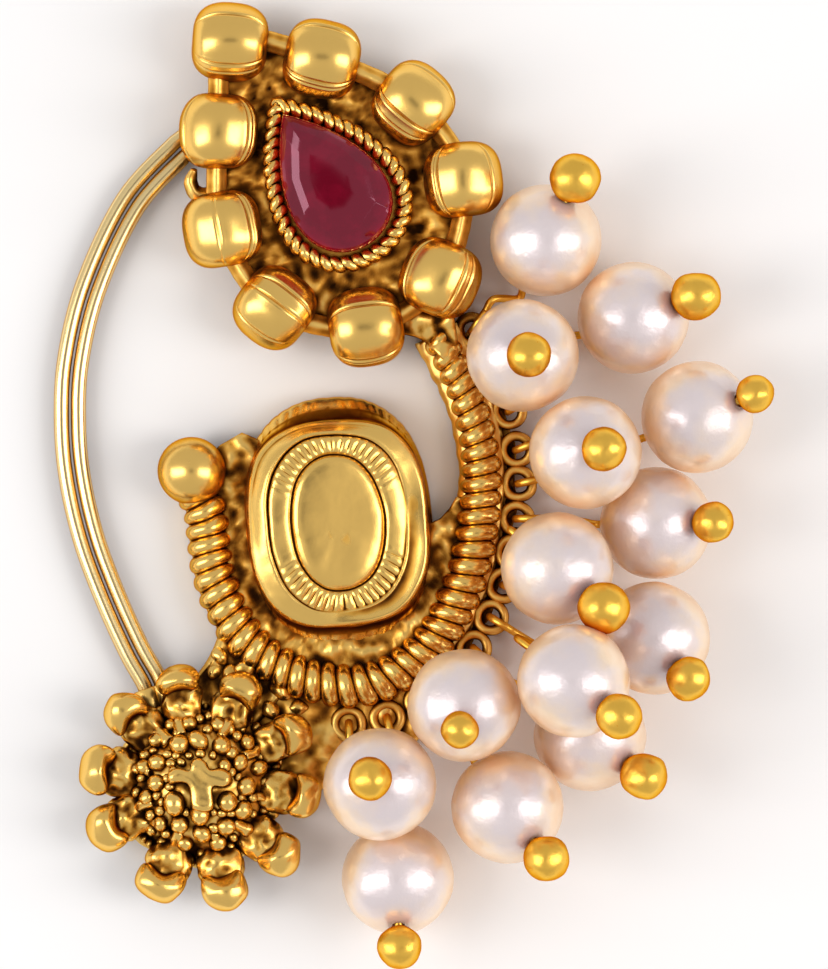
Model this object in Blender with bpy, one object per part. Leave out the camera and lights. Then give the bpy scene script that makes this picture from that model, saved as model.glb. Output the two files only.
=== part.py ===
# Nath nose ring lying on its back: a cast gold body, a doubled nose wire, a pear stone and
# fourteen pearls on ball-headed pins. Blender 4.5 script. X runs to the right, Y to the top
# of the ring and Z towards the viewer. The origin is the boss centre on the flat back.
import math
from collections import namedtuple

import bmesh
import bpy
from mathutils import Matrix, Vector

# All sizes below are in millimetres. finish_node turns each solid into metres.
METRES_PER_MM = 0.001

# Clearances
DRILL_CLEARANCE = 0.12     # pin shank to the wall of the pearl's drilled hole
SEAT_CLEARANCE = 0.10      # ball head to pearl, stone to seat
WIRE_CLEARANCE = 0.12      # nose wire to its sleeve, to its peg and to the cluster above it
BURIED = 0.30              # how deep a fused piece goes into the piece that carries it
BACK_RELIEF = 0.05         # webs stand this far above the flat back

# Crescent: a coil-wound tube on a flat back plate
CRESCENT_RADIUS = 7.22      # boss centre to the middle of the tube, before the share below
COIL_RADIUS = 0.95
COIL_START_SHARE = 0.74    # the tube is thinner where it leaves the cluster
COIL_VALLEY_SHARE = 0.80
COIL_TURNS = 43
COIL_SIDES = 8
PLATE_THICKNESS = 1.20
PLATE_EDGE = 0.22          # back plate beyond the tube
BALL_RADIUS = 1.48         # ball that closes the crescent's left arm

# Boss
BOSS_HALF_WIDTH = 4.10
BOSS_HALF_LENGTH = 5.45
BOSS_HEIGHT = 3.95
BOSS_TURN = 5.0            # degrees, top to the left
BOSS_SIDES = 30
WEB_THICKNESS = 0.90       # web between boss and crescent

# Teardrop cluster
CLUSTER_CENTRE = (-0.30, 14.60)
CLUSTER_RADIUS = 6.00       # cluster centre to a bead, before the share below
CLUSTER_PLATE = 0.90
BEAD_RADIUS = 1.74
BEAD_LENGTH = 3.10
BEAD_SIDES = 12
BEAD_LIFT = 0.30           # share of the bead's radius that its flat back takes away
BAR_RADIUS = 0.46          # bar that joins the beads
PLATE_INSET = 0.16         # the plate's edge lies this far inside the middle of the bars

# Stone and its roped bezel
STONE_LENGTH = 6.80
STONE_WIDTH = 4.45
STONE_HEIGHT = 1.75
STONE_CENTRE = (-0.50, 14.92)
STONE_TURN = 34.0          # degrees, tip to the left
STONE_FACETS = 16
SEAT_HEIGHT = 0.35         # seat above the cluster's plate
ROPE_RADIUS = 0.37
ROPE_GRAINS = 28
ROPE_SIDES = 5

# Flower
FLOWER_CENTRE = (-6.03, -11.35)
FLOWER_RADIUS = 3.70
FLOWER_HEIGHT = 3.40
PETALS = 10
PETAL_FIRST = 30.0
PETAL_RING_RADIUS = 3.95
PETAL_HALF_LENGTH = 1.30
PETAL_HALF_WIDTH = 1.00
PETAL_HALF_HEIGHT = 0.84
GRAIN_RADIUS = 0.45
GrainRing = namedtuple("GrainRing", "count share first_angle")
FLOWER_GRAINS = (GrainRing(9, 0.743, 0.0), GrainRing(5, 0.432, 18.0))

# Nose wire: one wire doubled into a hairpin
WIRE_RADIUS = 0.33
WIRE_ARC_RADIUS = 12.63
WIRE_SLIT = 0.08           # between the two legs
EYE_ANGLES = (110.0, 70.0, 35.0, 0.0, -35.0, -70.0, -110.0)
PEG_RADIUS = 0.34
SLEEVE_WALL = 0.14
SLEEVE_LENGTH = 1.50

# Pearls and pins
PEARL_RADIUS = 2.46
PEARL_SIDES = 12
PEARL_RINGS = 7
PIN_BALL_RADIUS = 1.00
PIN_RADIUS = 0.17
PIN_LOOP_RADIUS = 0.65     # middle of the loop's wire
EYELET_RADIUS = 0.60       # middle of the eyelet's wire
EYELET_WIRE = 0.22
EYELET_SIDES = 10
WIRE_SIDES = 5
EYELET_HEIGHT = 0.90

# The tube's middle line, seen from the boss centre.
Bend = namedtuple("Bend", "angle share")
CRESCENT = (
    Bend(62.6, 1.283), Bend(45.0, 1.090), Bend(23.8, 0.942), Bend(-1.6, 0.843),
    Bend(-28.4, 0.849), Bend(-54.2, 0.928), Bend(-78.8, 0.994), Bend(-103.0, 0.964),
    Bend(-127.0, 0.907), Bend(-154.8, 0.819), Bend(-183.0, 0.801), Bend(-199.2, 0.937),
)

# The nose wire's middle line, seen from the boss centre.
NOSE_WIRE = (
    Bend(112.9, 1.400), Bend(123.0, 1.315), Bend(136.3, 1.180), Bend(148.7, 1.072),
    Bend(160.0, 0.986), Bend(171.0, 0.920), Bend(184.1, 0.863), Bend(198.4, 0.829),
    Bend(212.0, 0.832), Bend(220.0, 0.846), Bend(225.0, 0.875),
)

# The nine beads, seen from the cluster centre. The first is the one at the tip.
BEADS = (
    Bend(124.9, 1.28), Bend(94.0, 0.93), Bend(45.5, 0.85), Bend(3.0, 0.96),
    Bend(-40.0, 1.035), Bend(-76.0, 1.05), Bend(-115.0, 0.97), Bend(-158.7, 0.85),
    Bend(153.7, 0.91),
)
WIRE_BEAD = 8              # the nose wire's eye sits under this one

# Each pearl. angle and share place it beyond the crescent's rim, share and lift in pearl
# diameters; azimuth and rise aim its ball head; eyelet is where its pin is hooked.
Pearl = namedtuple("Pearl", "angle share lift azimuth rise eyelet")
RIM_RADIUS = 7.30
PEARLS = (
    Pearl(53.6, 1.61, 0.55, 64.6, 34.6, 55.0),
    Pearl(34.7, 1.69, 0.53, 18.7, 35.7, 33.0),
    Pearl(42.0, 0.71, 0.94, 0.0, 86.0, 44.0),
    Pearl(16.3, 1.82, 0.75, 21.6, 36.3, 12.0),
    Pearl(15.7, 0.78, 1.10, 12.0, 77.0, 22.0),
    Pearl(-0.2, 1.33, 0.53, 1.0, 44.0, 1.0),
    Pearl(-11.9, 0.49, 1.08, -40.0, 43.0, -10.0),
    Pearl(-20.2, 1.49, 0.69, -50.3, 49.0, -21.0),
    Pearl(-33.9, 1.01, 1.60, -37.3, 44.3, -32.0),
    Pearl(-40.2, 1.43, 0.53, -37.2, 32.6, -43.0),
    Pearl(-55.3, 0.47, 1.26, -100.2, 71.7, -54.0),
    Pearl(-80.8, 0.85, 1.12, 145.0, 81.3, -76.0),
    Pearl(-59.2, 1.44, 0.87, -53.0, 37.5, -65.0),
    Pearl(-80.5, 1.71, 0.53, -88.8, 31.2, -87.0),
)

# Sections of turned and stacked forms, as shares of the form's own sizes.
Section = namedtuple("Section", "height width length power")
BOSS_SECTIONS = (
    Section(0.00, 0.985, 0.985, 2.6), Section(0.36, 1.00, 1.00, 2.6),
    Section(0.44, 0.96, 0.92, 2.7), Section(0.74, 0.96, 0.86, 2.75),
    Section(0.86, 0.91, 0.82, 2.75), Section(0.91, 0.82, 0.76, 2.6),
    Section(0.84, 0.77, 0.72, 2.5), Section(0.88, 0.70, 0.67, 2.3),
    Section(0.95, 0.62, 0.62, 2.2), Section(0.91, 0.50, 0.56, 2.2),
    Section(0.99, 0.44, 0.51, 2.2), Section(1.00, 0.30, 0.40, 2.2),
)
FLOWER_SECTIONS = (
    Section(0.00, 0.98, 0.98, 2.0), Section(0.29, 1.00, 1.00, 2.0),
    Section(0.36, 0.86, 0.86, 2.0), Section(0.70, 0.72, 0.72, 2.0),
    Section(0.92, 0.46, 0.46, 2.0), Section(1.00, 0.20, 0.20, 2.0),
)
BEAD_SECTIONS = (
    Section(0.00, 0.56, 0.56, 2.0), Section(0.17, 0.90, 0.90, 2.0),
    Section(0.50, 1.02, 1.02, 2.0), Section(0.83, 0.90, 0.90, 2.0),
    Section(1.00, 0.56, 0.56, 2.0),
)
STONE_SECTIONS = (
    Section(0.00, 0.96, 0.96, 2.0), Section(0.34, 1.00, 1.00, 2.0),
    Section(0.74, 0.80, 0.82, 2.0), Section(1.00, 0.48, 0.54, 2.0),
)

# Heights worked out from the sizes above
WIRE_HEIGHT = SLEEVE_WALL + WIRE_CLEARANCE + WIRE_RADIUS
CLUSTER_BACK = WIRE_HEIGHT + WIRE_RADIUS + WIRE_CLEARANCE
CLUSTER_TOP = CLUSTER_BACK + CLUSTER_PLATE
BEAD_HEIGHT = CLUSTER_BACK + BEAD_RADIUS * (1.0 - BEAD_LIFT)
COIL_HEIGHT = PLATE_THICKNESS
SLEEVE_HEIGHT = 2.0 * WIRE_HEIGHT
EYELET_DISTANCE = COIL_RADIUS + PLATE_EDGE + EYELET_RADIUS - EYELET_WIRE / 2.0


def clear_scene():
    for item in list(bpy.data.objects):
        bpy.data.objects.remove(item, do_unlink=True)


def make_material(name, colour, roughness, metallic):
    material = bpy.data.materials.new(name)
    material.use_nodes = True
    shader = material.node_tree.nodes["Principled BSDF"]
    shader.inputs["Base Color"].default_value = (*colour, 1.0)
    shader.inputs["Roughness"].default_value = roughness
    shader.inputs["Metallic"].default_value = metallic
    return material


def add_object(name, data):
    item = bpy.data.objects.new(name, data)
    bpy.context.scene.collection.objects.link(item)
    return item


def object_from(name, bm):
    bmesh.ops.recalc_face_normals(bm, faces=bm.faces)
    mesh = bpy.data.meshes.new(name)
    bm.to_mesh(mesh)
    bm.free()
    return add_object(name, mesh)


def evaluated(item):
    """Replace an object by the plain mesh that its curve or modifiers make."""
    bpy.context.view_layer.update()
    graph = bpy.context.evaluated_depsgraph_get()
    mesh = bpy.data.meshes.new_from_object(item.evaluated_get(graph))
    bm = bmesh.new()
    bm.from_mesh(mesh)
    bm.transform(item.matrix_world)
    bmesh.ops.remove_doubles(bm, verts=bm.verts, dist=0.0001)
    name = item.name
    bpy.data.objects.remove(item, do_unlink=True)
    return object_from(name, bm)


def combine(base, others, operation):
    """Union or difference of base with each of the others, in turn."""
    group = bpy.data.collections.new("operands")
    bpy.context.scene.collection.children.link(group)
    for other in others:
        group.objects.link(other)
        other.hide_render = True
        other.display_type = "WIRE"
    step = base.modifiers.new(operation.lower(), "BOOLEAN")
    step.operation = operation
    step.solver = "EXACT"
    step.operand_type = "COLLECTION"
    step.collection = group
    result = evaluated(base)
    for other in others:
        bpy.data.objects.remove(other, do_unlink=True)
    bpy.data.collections.remove(group)
    return result


def finish_node(item, name, material):
    item.name = name
    item.data.name = name
    item.data.transform(Matrix.Scale(METRES_PER_MM, 4))
    item.data.materials.clear()
    item.data.materials.append(material)
    return item


def polar(angle, reach, height=0.0):
    turn = math.radians(angle)
    return Vector((reach * math.cos(turn), reach * math.sin(turn), height))


def smooth_line(points, steps, closed=False):
    """Points of a Catmull-Rom line through the given points."""
    count = len(points)
    line = []
    for i in range(count if closed else count - 1):
        if closed:
            p0, p1, p2, p3 = (points[(i + k) % count] for k in (-1, 0, 1, 2))
        else:
            p0, p1, p2, p3 = (points[min(max(i + k, 0), count - 1)] for k in (-1, 0, 1, 2))
        for step in range(steps):
            t = step / steps
            line.append(0.5 * (2.0 * p1 + (p2 - p0) * t
                               + (2.0 * p0 - 5.0 * p1 + 4.0 * p2 - p3) * t * t
                               + (3.0 * p1 - p0 - 3.0 * p2 + p3) * t ** 3))
    if not closed:
        line.append(points[-1].copy())
    return line


def even_line(line, count, closed=False):
    """The same line cut into count equal lengths."""
    path = line + [line[0]] if closed else line
    lengths = [0.0]
    for first, second in zip(path, path[1:]):
        lengths.append(lengths[-1] + (second - first).length)
    even = []
    place = 0
    for i in range(count if closed else count + 1):
        wanted = lengths[-1] * i / count
        while place < len(path) - 2 and lengths[place + 1] < wanted:
            place += 1
        share = (wanted - lengths[place]) / (lengths[place + 1] - lengths[place])
        even.append(path[place].lerp(path[place + 1], share))
    return even


def side_of(line, i, closed=False):
    """Unit vector to the left of a flat line at its point i."""
    count = len(line)
    if closed:
        ahead = line[(i + 1) % count] - line[i - 1]
    else:
        ahead = line[min(i + 1, count - 1)] - line[max(i - 1, 0)]
    return Vector((-ahead.y, ahead.x, 0.0)).normalized()


def offset_line(line, distance, closed=False):
    return [point + side_of(line, i, closed) * distance for i, point in enumerate(line)]


def tube(name, points, radius, sides, closed=False, widths=None):
    """Round tube along points; widths holds a share of the radius for each point."""
    ring = bpy.data.curves.new("ring", "CURVE")
    ring_line = ring.splines.new("POLY")
    ring_line.points.add(sides - 1)
    ring_line.use_cyclic_u = True
    for i in range(sides):
        ring_line.points[i].co = (*polar(360.0 * i / sides, radius), 1.0)
    section = add_object("ring", ring)
    curve = bpy.data.curves.new(name, "CURVE")
    curve.dimensions = "3D"
    curve.bevel_mode = "OBJECT"
    curve.bevel_object = section
    curve.use_fill_caps = not closed
    spline = curve.splines.new("POLY")
    spline.points.add(len(points) - 1)
    spline.use_cyclic_u = closed
    for i, point in enumerate(points):
        spline.points[i].co = (*point, 1.0)
        spline.points[i].radius = widths[i] if widths else 1.0
    result = evaluated(add_object(name, curve))
    bpy.data.objects.remove(section, do_unlink=True)
    return result


def plate(name, outline, bottom, top):
    curve = bpy.data.curves.new(name, "CURVE")
    curve.dimensions = "2D"
    curve.fill_mode = "BOTH"
    curve.extrude = (top - bottom) / 2.0
    spline = curve.splines.new("POLY")
    spline.points.add(len(outline) - 1)
    spline.use_cyclic_u = True
    for i, point in enumerate(outline):
        spline.points[i].co = (point.x, point.y, 0.0, 1.0)
    item = add_object(name, curve)
    item.location.z = (top + bottom) / 2.0
    return evaluated(item)


def ball(name, centre, radius, sides, rings, scale=(1.0, 1.0, 1.0), turn=0.0):
    bm = bmesh.new()
    place = (Matrix.Translation(centre) @ Matrix.Rotation(math.radians(turn), 4, "Z")
             @ Matrix.Diagonal((*scale, 1.0)))
    bmesh.ops.create_uvsphere(bm, u_segments=sides, v_segments=rings, radius=radius, matrix=place)
    return object_from(name, bm)


def rod(name, start, end, radius, sides):
    bm = bmesh.new()
    along = end - start
    place = (Matrix.Translation((start + end) / 2.0)
             @ along.to_track_quat("Z", "Y").to_matrix().to_4x4())
    bmesh.ops.create_cone(bm, cap_ends=True, segments=sides, radius1=radius, radius2=radius,
                          depth=along.length, matrix=place)
    return object_from(name, bm)


def box(name, centre, size, turn=0.0):
    bm = bmesh.new()
    place = (Matrix.Translation(centre) @ Matrix.Rotation(math.radians(turn), 4, "Z")
             @ Matrix.Diagonal((*size, 1.0)))
    bmesh.ops.create_cube(bm, size=1.0, matrix=place)
    return object_from(name, bm)


def rounded_outline(i, sides, power):
    """Point i of a rounded box of half sizes 1 and 1; a power of 2 is a circle."""
    turn = 2.0 * math.pi * i / sides
    c = math.cos(turn)
    s = math.sin(turn)
    return (math.copysign(abs(c) ** (2.0 / power), c), math.copysign(abs(s) ** (2.0 / power), s))


def pear_outline(i, sides, power):
    """Point i of a pear of half sizes 1 and 1 with its tip at the top."""
    turn = 2.0 * math.pi * i / sides
    bulge = math.sin(turn / 2.0) ** 0.9
    return (-math.sin(turn) * bulge / 0.786, math.cos(turn))


def stack(name, sections, outline, sides, width, length, height, place):
    """Closed solid through flat sections, one above the other."""
    bm = bmesh.new()
    bmesh.ops.create_circle(bm, cap_ends=True, segments=sides, radius=1.0)
    bm.verts.ensure_lookup_table()
    ring = list(bm.verts)
    face = bm.faces[:][0]
    for number, section in enumerate(sections):
        if number:
            grown = bmesh.ops.extrude_discrete_faces(bm, faces=[face])
            face = grown["faces"][0]
            ring = list(face.verts)
            bmesh.ops.translate(bm, verts=ring, vec=(0.0, 0.0, 0.001))
        for i, vert in enumerate(ring):
            x, y = outline(i, sides, section.power)
            vert.co = Vector((x * section.width * width, y * section.length * length,
                              section.height * height))
    bmesh.ops.contextual_create(bm, geom=[e for e in bm.edges if e.is_boundary])
    bm.transform(place)
    return object_from(name, bm)


def crescent_line(steps=12):
    points = [polar(bend.angle, bend.share * CRESCENT_RADIUS) for bend in CRESCENT]
    return smooth_line(points, steps)


def crescent_reach(angle):
    """Reach of the tube's middle line at an angle."""
    wanted = polar(angle, 1.0)
    best = max(crescent_line(24), key=lambda point: point.normalized().dot(wanted))
    return best.length


def coil():
    line = even_line(crescent_line(), 2 * COIL_TURNS)
    widths = []
    for i in range(len(line)):
        grown = min(1.0, COIL_START_SHARE + (1.0 - COIL_START_SHARE) * i / (0.3 * len(line)))
        widths.append(grown * (1.0 if i % 2 else COIL_VALLEY_SHARE))
    points = [point + Vector((0.0, 0.0, COIL_HEIGHT)) for point in line]
    return tube("coil", points, COIL_RADIUS, COIL_SIDES, widths=widths)


def crescent_plate():
    line = even_line(crescent_line(), 30)
    outer = offset_line(line, COIL_RADIUS + PLATE_EDGE)
    inner = offset_line(line, -(COIL_RADIUS - PLATE_EDGE))
    return plate("crescent_plate", outer + inner[::-1], 0.0, PLATE_THICKNESS)


def boss():
    place = Matrix.Rotation(math.radians(BOSS_TURN), 4, "Z")
    return stack("boss", BOSS_SECTIONS, rounded_outline, BOSS_SIDES, BOSS_HALF_WIDTH,
                 BOSS_HALF_LENGTH, BOSS_HEIGHT, place)


def boss_web():
    """Web that fills the space between boss and crescent, from below the boss to the ball."""
    line = [point for point in crescent_line(6)
            if point.y < 0.0 and point.x < CRESCENT_RADIUS * 0.45 or point.x < -CRESCENT_RADIUS / 2.0]
    return plate("boss_web", line + [Vector((0.0, BOSS_HALF_LENGTH * 0.4, 0.0))],
                 BACK_RELIEF, WEB_THICKNESS)


def end_ball():
    end = crescent_line()[-1]
    place = Vector((end.x, end.y, BACK_RELIEF + BALL_RADIUS))
    return ball("end_ball", place, BALL_RADIUS, 14, 10)


def bead_places():
    centre = Vector((*CLUSTER_CENTRE, 0.0))
    return [centre + polar(bend.angle, bend.share * CLUSTER_RADIUS) for bend in BEADS]


def bead(number, places):
    centre = places[number] + Vector((0.0, 0.0, BEAD_HEIGHT))
    ahead = places[(number + 1) % len(places)] - places[number - 1]
    turn = ahead.normalized().to_track_quat("Z", "Y").to_matrix().to_4x4()
    place = (Matrix.Translation(centre) @ turn
             @ Matrix.Translation((0.0, 0.0, -BEAD_LENGTH / 2.0)))
    return stack("bead", BEAD_SECTIONS, rounded_outline, BEAD_SIDES, BEAD_RADIUS, BEAD_RADIUS,
                 BEAD_LENGTH, place)


def pear_line(grow, count, height):
    """Closed line around the stone, grow outside its girdle."""
    turn = Matrix.Rotation(math.radians(STONE_TURN), 4, "Z")
    centre = Vector((*STONE_CENTRE, height))
    line = []
    for i in range(8 * count):
        x, y = pear_outline(i, 8 * count, 2.0)
        line.append(Vector((x * (STONE_WIDTH / 2.0 + grow), y * (STONE_LENGTH / 2.0 + grow), 0.0)))
    return [centre + turn @ point for point in even_line(line, count, closed=True)]


def rope():
    grow = SEAT_CLEARANCE + ROPE_RADIUS
    height = CLUSTER_TOP + SEAT_HEIGHT + ROPE_RADIUS / 2.0
    line = pear_line(grow, 2 * ROPE_GRAINS, height)
    widths = [1.0 if i % 2 else 0.84 for i in range(len(line))]
    return tube("rope", line, ROPE_RADIUS, ROPE_SIDES, closed=True, widths=widths)


def seat():
    outline = pear_line(SEAT_CLEARANCE + ROPE_RADIUS * 1.6, 24, 0.0)
    return plate("seat", outline, CLUSTER_TOP - BURIED, CLUSTER_TOP + SEAT_HEIGHT)


def cluster():
    places = bead_places()
    pieces = [bead(number, places) for number in range(len(places))]
    ring = smooth_line(places, 3, closed=True)
    bar = [point + Vector((0.0, 0.0, BEAD_HEIGHT)) for point in ring]
    pieces.append(tube("bead_bar", bar, BAR_RADIUS, 4, closed=True))
    pieces.append(rope())
    pieces.append(seat())
    outline = offset_line(ring, -PLATE_INSET, closed=True)
    base = plate("cluster_plate", outline, CLUSTER_BACK - BURIED, CLUSTER_TOP)
    body = combine(base, pieces, "UNION")
    reach = 3.0 * CLUSTER_RADIUS
    below = box("below", Vector((*CLUSTER_CENTRE, CLUSTER_BACK / 2.0 - BEAD_RADIUS)),
                (reach, reach, CLUSTER_BACK + 2.0 * BEAD_RADIUS))
    return combine(body, [below], "DIFFERENCE")


def neck():
    """Solder joint from the crescent's upper end to the cluster."""
    start = crescent_line()[0]
    places = bead_places()
    outline = [places[4], places[4].lerp(places[5], 0.5), places[5].lerp(start, 0.35),
               start - side_of(crescent_line(), 0) * COIL_RADIUS * 0.7,
               crescent_line()[8], start + side_of(crescent_line(), 0) * COIL_RADIUS]
    return plate("neck", outline, BACK_RELIEF, CLUSTER_TOP - BACK_RELIEF)


def wire_peg():
    place = bead_places()[WIRE_BEAD]
    start = Vector((place.x, place.y, WIRE_HEIGHT - WIRE_RADIUS))
    end = Vector((place.x, place.y, CLUSTER_BACK + BURIED))
    return rod("wire_peg", start, end, PEG_RADIUS, 12)


def petal(number):
    angle = PETAL_FIRST + 360.0 * number / PETALS
    centre = (Vector((*FLOWER_CENTRE, 0.0)) + polar(angle, PETAL_RING_RADIUS)
              + Vector((0.0, 0.0, SLEEVE_HEIGHT + BACK_RELIEF + PETAL_HALF_HEIGHT)))
    return ball("petal", centre, 1.0, 10, 5,
                (PETAL_HALF_LENGTH, PETAL_HALF_WIDTH, PETAL_HALF_HEIGHT), angle)


def dome_height(reach):
    """Height of the flower's dome at a distance from its middle."""
    for low, high in zip(FLOWER_SECTIONS[1:], FLOWER_SECTIONS[2:]):
        if high.width * FLOWER_RADIUS <= reach:
            share = (reach / FLOWER_RADIUS - low.width) / (high.width - low.width)
            return FLOWER_HEIGHT * (low.height + share * (high.height - low.height))
    return FLOWER_HEIGHT


def flower():
    centre = Vector((*FLOWER_CENTRE, 0.0))
    body = stack("flower", FLOWER_SECTIONS, rounded_outline, 24, FLOWER_RADIUS, FLOWER_RADIUS,
                 FLOWER_HEIGHT, Matrix.Translation(centre))
    pieces = [petal(number) for number in range(PETALS)]
    for ring in FLOWER_GRAINS:
        reach = ring.share * FLOWER_RADIUS
        for number in range(ring.count):
            angle = ring.first_angle + 360.0 * number / ring.count
            place = centre + polar(angle, reach, dome_height(reach))
            pieces.append(ball("grain", place, GRAIN_RADIUS, 8, 4))
    top = centre + Vector((0.0, 0.0, FLOWER_HEIGHT))
    arm = 2.0 * GRAIN_RADIUS
    pieces.append(box("cross_long", top, (3.0 * arm, arm, arm), 4.0))
    pieces.append(box("cross_short", top, (arm, 2.2 * arm, 0.9 * arm), 4.0))
    return combine(body, pieces, "UNION")


def flower_web():
    """Plate that carries the flower from the crescent's lower left bend."""
    line = even_line(crescent_line(), 30)
    toward = Vector((*FLOWER_CENTRE, 0.0))
    return plate("flower_web", [line[21], line[23], line[25], line[26],
                                toward.lerp(line[25], 0.25), toward.lerp(line[21], 0.25)],
                 2.0 * BACK_RELIEF, WEB_THICKNESS + BACK_RELIEF)


def eyelet_middle(pearl):
    reach = crescent_reach(pearl.eyelet) + EYELET_DISTANCE
    return polar(pearl.eyelet, reach, EYELET_HEIGHT)


def eyelet(pearl):
    centre = eyelet_middle(pearl)
    points = [centre + polar(360.0 * i / EYELET_SIDES, EYELET_RADIUS) for i in range(EYELET_SIDES)]
    return tube("eyelet", points, EYELET_WIRE, WIRE_SIDES, closed=True)


def wire_line():
    return smooth_line([polar(bend.angle, bend.share * WIRE_ARC_RADIUS, WIRE_HEIGHT)
                        for bend in NOSE_WIRE], 3)


def wire_legs():
    """One hairpin: up the outer leg, around the peg and down the inner leg."""
    line = wire_line()
    spread = WIRE_RADIUS + WIRE_SLIT / 2.0
    eye = PEG_RADIUS + WIRE_CLEARANCE + WIRE_RADIUS
    peg = bead_places()[WIRE_BEAD]
    peg.z = WIRE_HEIGHT
    outer = offset_line(line, -spread)[::-1]
    inner = offset_line(line, spread)
    arrival = peg - line[0]
    heading = math.degrees(math.atan2(arrival.y, arrival.x))
    bend = [peg + polar(heading + angle, eye) for angle in EYE_ANGLES]
    return outer, bend, inner


def nose_wire():
    outer, bend, inner = wire_legs()
    return tube("nose_wire", outer + bend + inner, WIRE_RADIUS, 6)


def sleeve():
    """Block at the flower's rim with a tunnel for each leg of the nose wire."""
    line = wire_line()
    ahead = (line[-1] - line[-3]).normalized()
    turn = math.degrees(math.atan2(ahead.y, ahead.x))
    spread = WIRE_RADIUS + WIRE_SLIT / 2.0
    width = 2.0 * (spread + WIRE_RADIUS + WIRE_CLEARANCE + 2.0 * SLEEVE_WALL)
    middle = line[-1] - ahead * (SLEEVE_LENGTH * 0.5 - BURIED)
    middle.z = (SLEEVE_HEIGHT + BACK_RELIEF) / 2.0
    return box("sleeve", middle, (SLEEVE_LENGTH, width, SLEEVE_HEIGHT - BACK_RELIEF), turn)


def sleeve_tunnels():
    line = wire_line()
    ahead = (line[-1] - line[-3]).normalized()
    spread = WIRE_RADIUS + WIRE_SLIT / 2.0
    radius = WIRE_RADIUS + WIRE_CLEARANCE
    tunnels = []
    for side in (-spread, spread):
        leg = offset_line(line, side)
        points = leg[-7:] + [leg[-1] + ahead * WIRE_CLEARANCE]
        tunnels.append(tube("tunnel", points, radius / math.cos(math.pi / 10), 10))
    return tunnels


def cast_body():
    pieces = [coil(), boss(), boss_web(), end_ball(), cluster(), neck(), wire_peg()]
    pieces += [flower(), flower_web(), sleeve()]
    pieces += [eyelet(pearl) for pearl in PEARLS]
    body = combine(crescent_plate(), pieces, "UNION")
    return combine(body, sleeve_tunnels(), "DIFFERENCE")


def teardrop_stone():
    height = CLUSTER_TOP + SEAT_HEIGHT + SEAT_CLEARANCE
    place = (Matrix.Translation((*STONE_CENTRE, height))
             @ Matrix.Rotation(math.radians(STONE_TURN), 4, "Z"))
    return stack("stone", STONE_SECTIONS, pear_outline, STONE_FACETS, STONE_WIDTH / 2.0,
                 STONE_LENGTH / 2.0, STONE_HEIGHT, place)


def pearl_centre(pearl):
    diameter = 2.0 * PEARL_RADIUS
    return polar(pearl.angle, RIM_RADIUS + pearl.share * diameter, pearl.lift * diameter)


def pin_direction(pearl):
    rise = math.radians(pearl.rise)
    flat = polar(pearl.azimuth, math.cos(rise))
    return Vector((flat.x, flat.y, math.sin(rise)))


def drilled_pearl(pearl):
    centre = pearl_centre(pearl)
    aim = pin_direction(pearl)
    bm = bmesh.new()
    place = Matrix.Translation(centre) @ aim.to_track_quat("Z", "Y").to_matrix().to_4x4()
    bmesh.ops.create_uvsphere(bm, u_segments=PEARL_SIDES, v_segments=PEARL_RINGS,
                              radius=PEARL_RADIUS, matrix=place)
    body = object_from("pearl", bm)
    reach = aim * PEARL_RADIUS * 1.2
    hole = rod("drill", centre - reach, centre + reach, PIN_RADIUS + DRILL_CLEARANCE, 6)
    return combine(body, [hole], "DIFFERENCE")


def pin_route(pearl):
    """Middle line of a pin, from its ball head to the end of the loop in its eyelet."""
    centre = pearl_centre(pearl)
    aim = pin_direction(pearl)
    head = centre + aim * (PEARL_RADIUS + SEAT_CLEARANCE + PIN_BALL_RADIUS)
    tail = centre - aim * (PEARL_RADIUS + 2.0 * PIN_RADIUS)
    outward = polar(pearl.eyelet, 1.0)
    middle = eyelet_middle(pearl) + outward * EYELET_RADIUS
    loop = []
    for angle in (50.0, 90.0, 130.0, 170.0, 210.0, 250.0, 290.0, 330.0):
        turn = math.radians(angle)
        loop.append(middle + outward * PIN_LOOP_RADIUS * math.cos(turn)
                    + Vector((0.0, 0.0, PIN_LOOP_RADIUS * math.sin(turn))))
    reach = (tail - loop[0]).length
    bend = smooth_line([tail, tail - aim * reach * 0.22, loop[0] + outward * reach * 0.25,
                        loop[0]], 2)
    return [head] + bend + loop[1:]


def pin(pearl):
    route = pin_route(pearl)
    shank = tube("shank", route, PIN_RADIUS, WIRE_SIDES)
    head = ball("head", route[0], PIN_BALL_RADIUS, 10, 5)
    return combine(head, [shank], "UNION")


def main():
    clear_scene()
    gold = make_material("antique_gold", (0.72, 0.48, 0.16), 0.32, 1.0)
    bright_gold = make_material("bright_gold", (0.85, 0.56, 0.14), 0.30, 1.0)
    ruby = make_material("ruby_glass", (0.42, 0.01, 0.05), 0.12, 0.0)
    nacre = make_material("pearl_nacre", (0.86, 0.78, 0.72), 0.28, 0.0)
    finish_node(cast_body(), "cast_body", gold)
    finish_node(nose_wire(), "nose_wire", gold)
    finish_node(teardrop_stone(), "teardrop_stone", ruby)
    for number, pearl in enumerate(PEARLS, 1):
        finish_node(drilled_pearl(pearl), f"pearl_{number:02d}", nacre)
        finish_node(pin(pearl), f"pearl_pin_{number:02d}", bright_gold)


main()
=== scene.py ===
import math
import random
from collections import namedtuple

import bmesh
import bpy
import numpy as np
from mathutils import Matrix, Vector, noise


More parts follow.
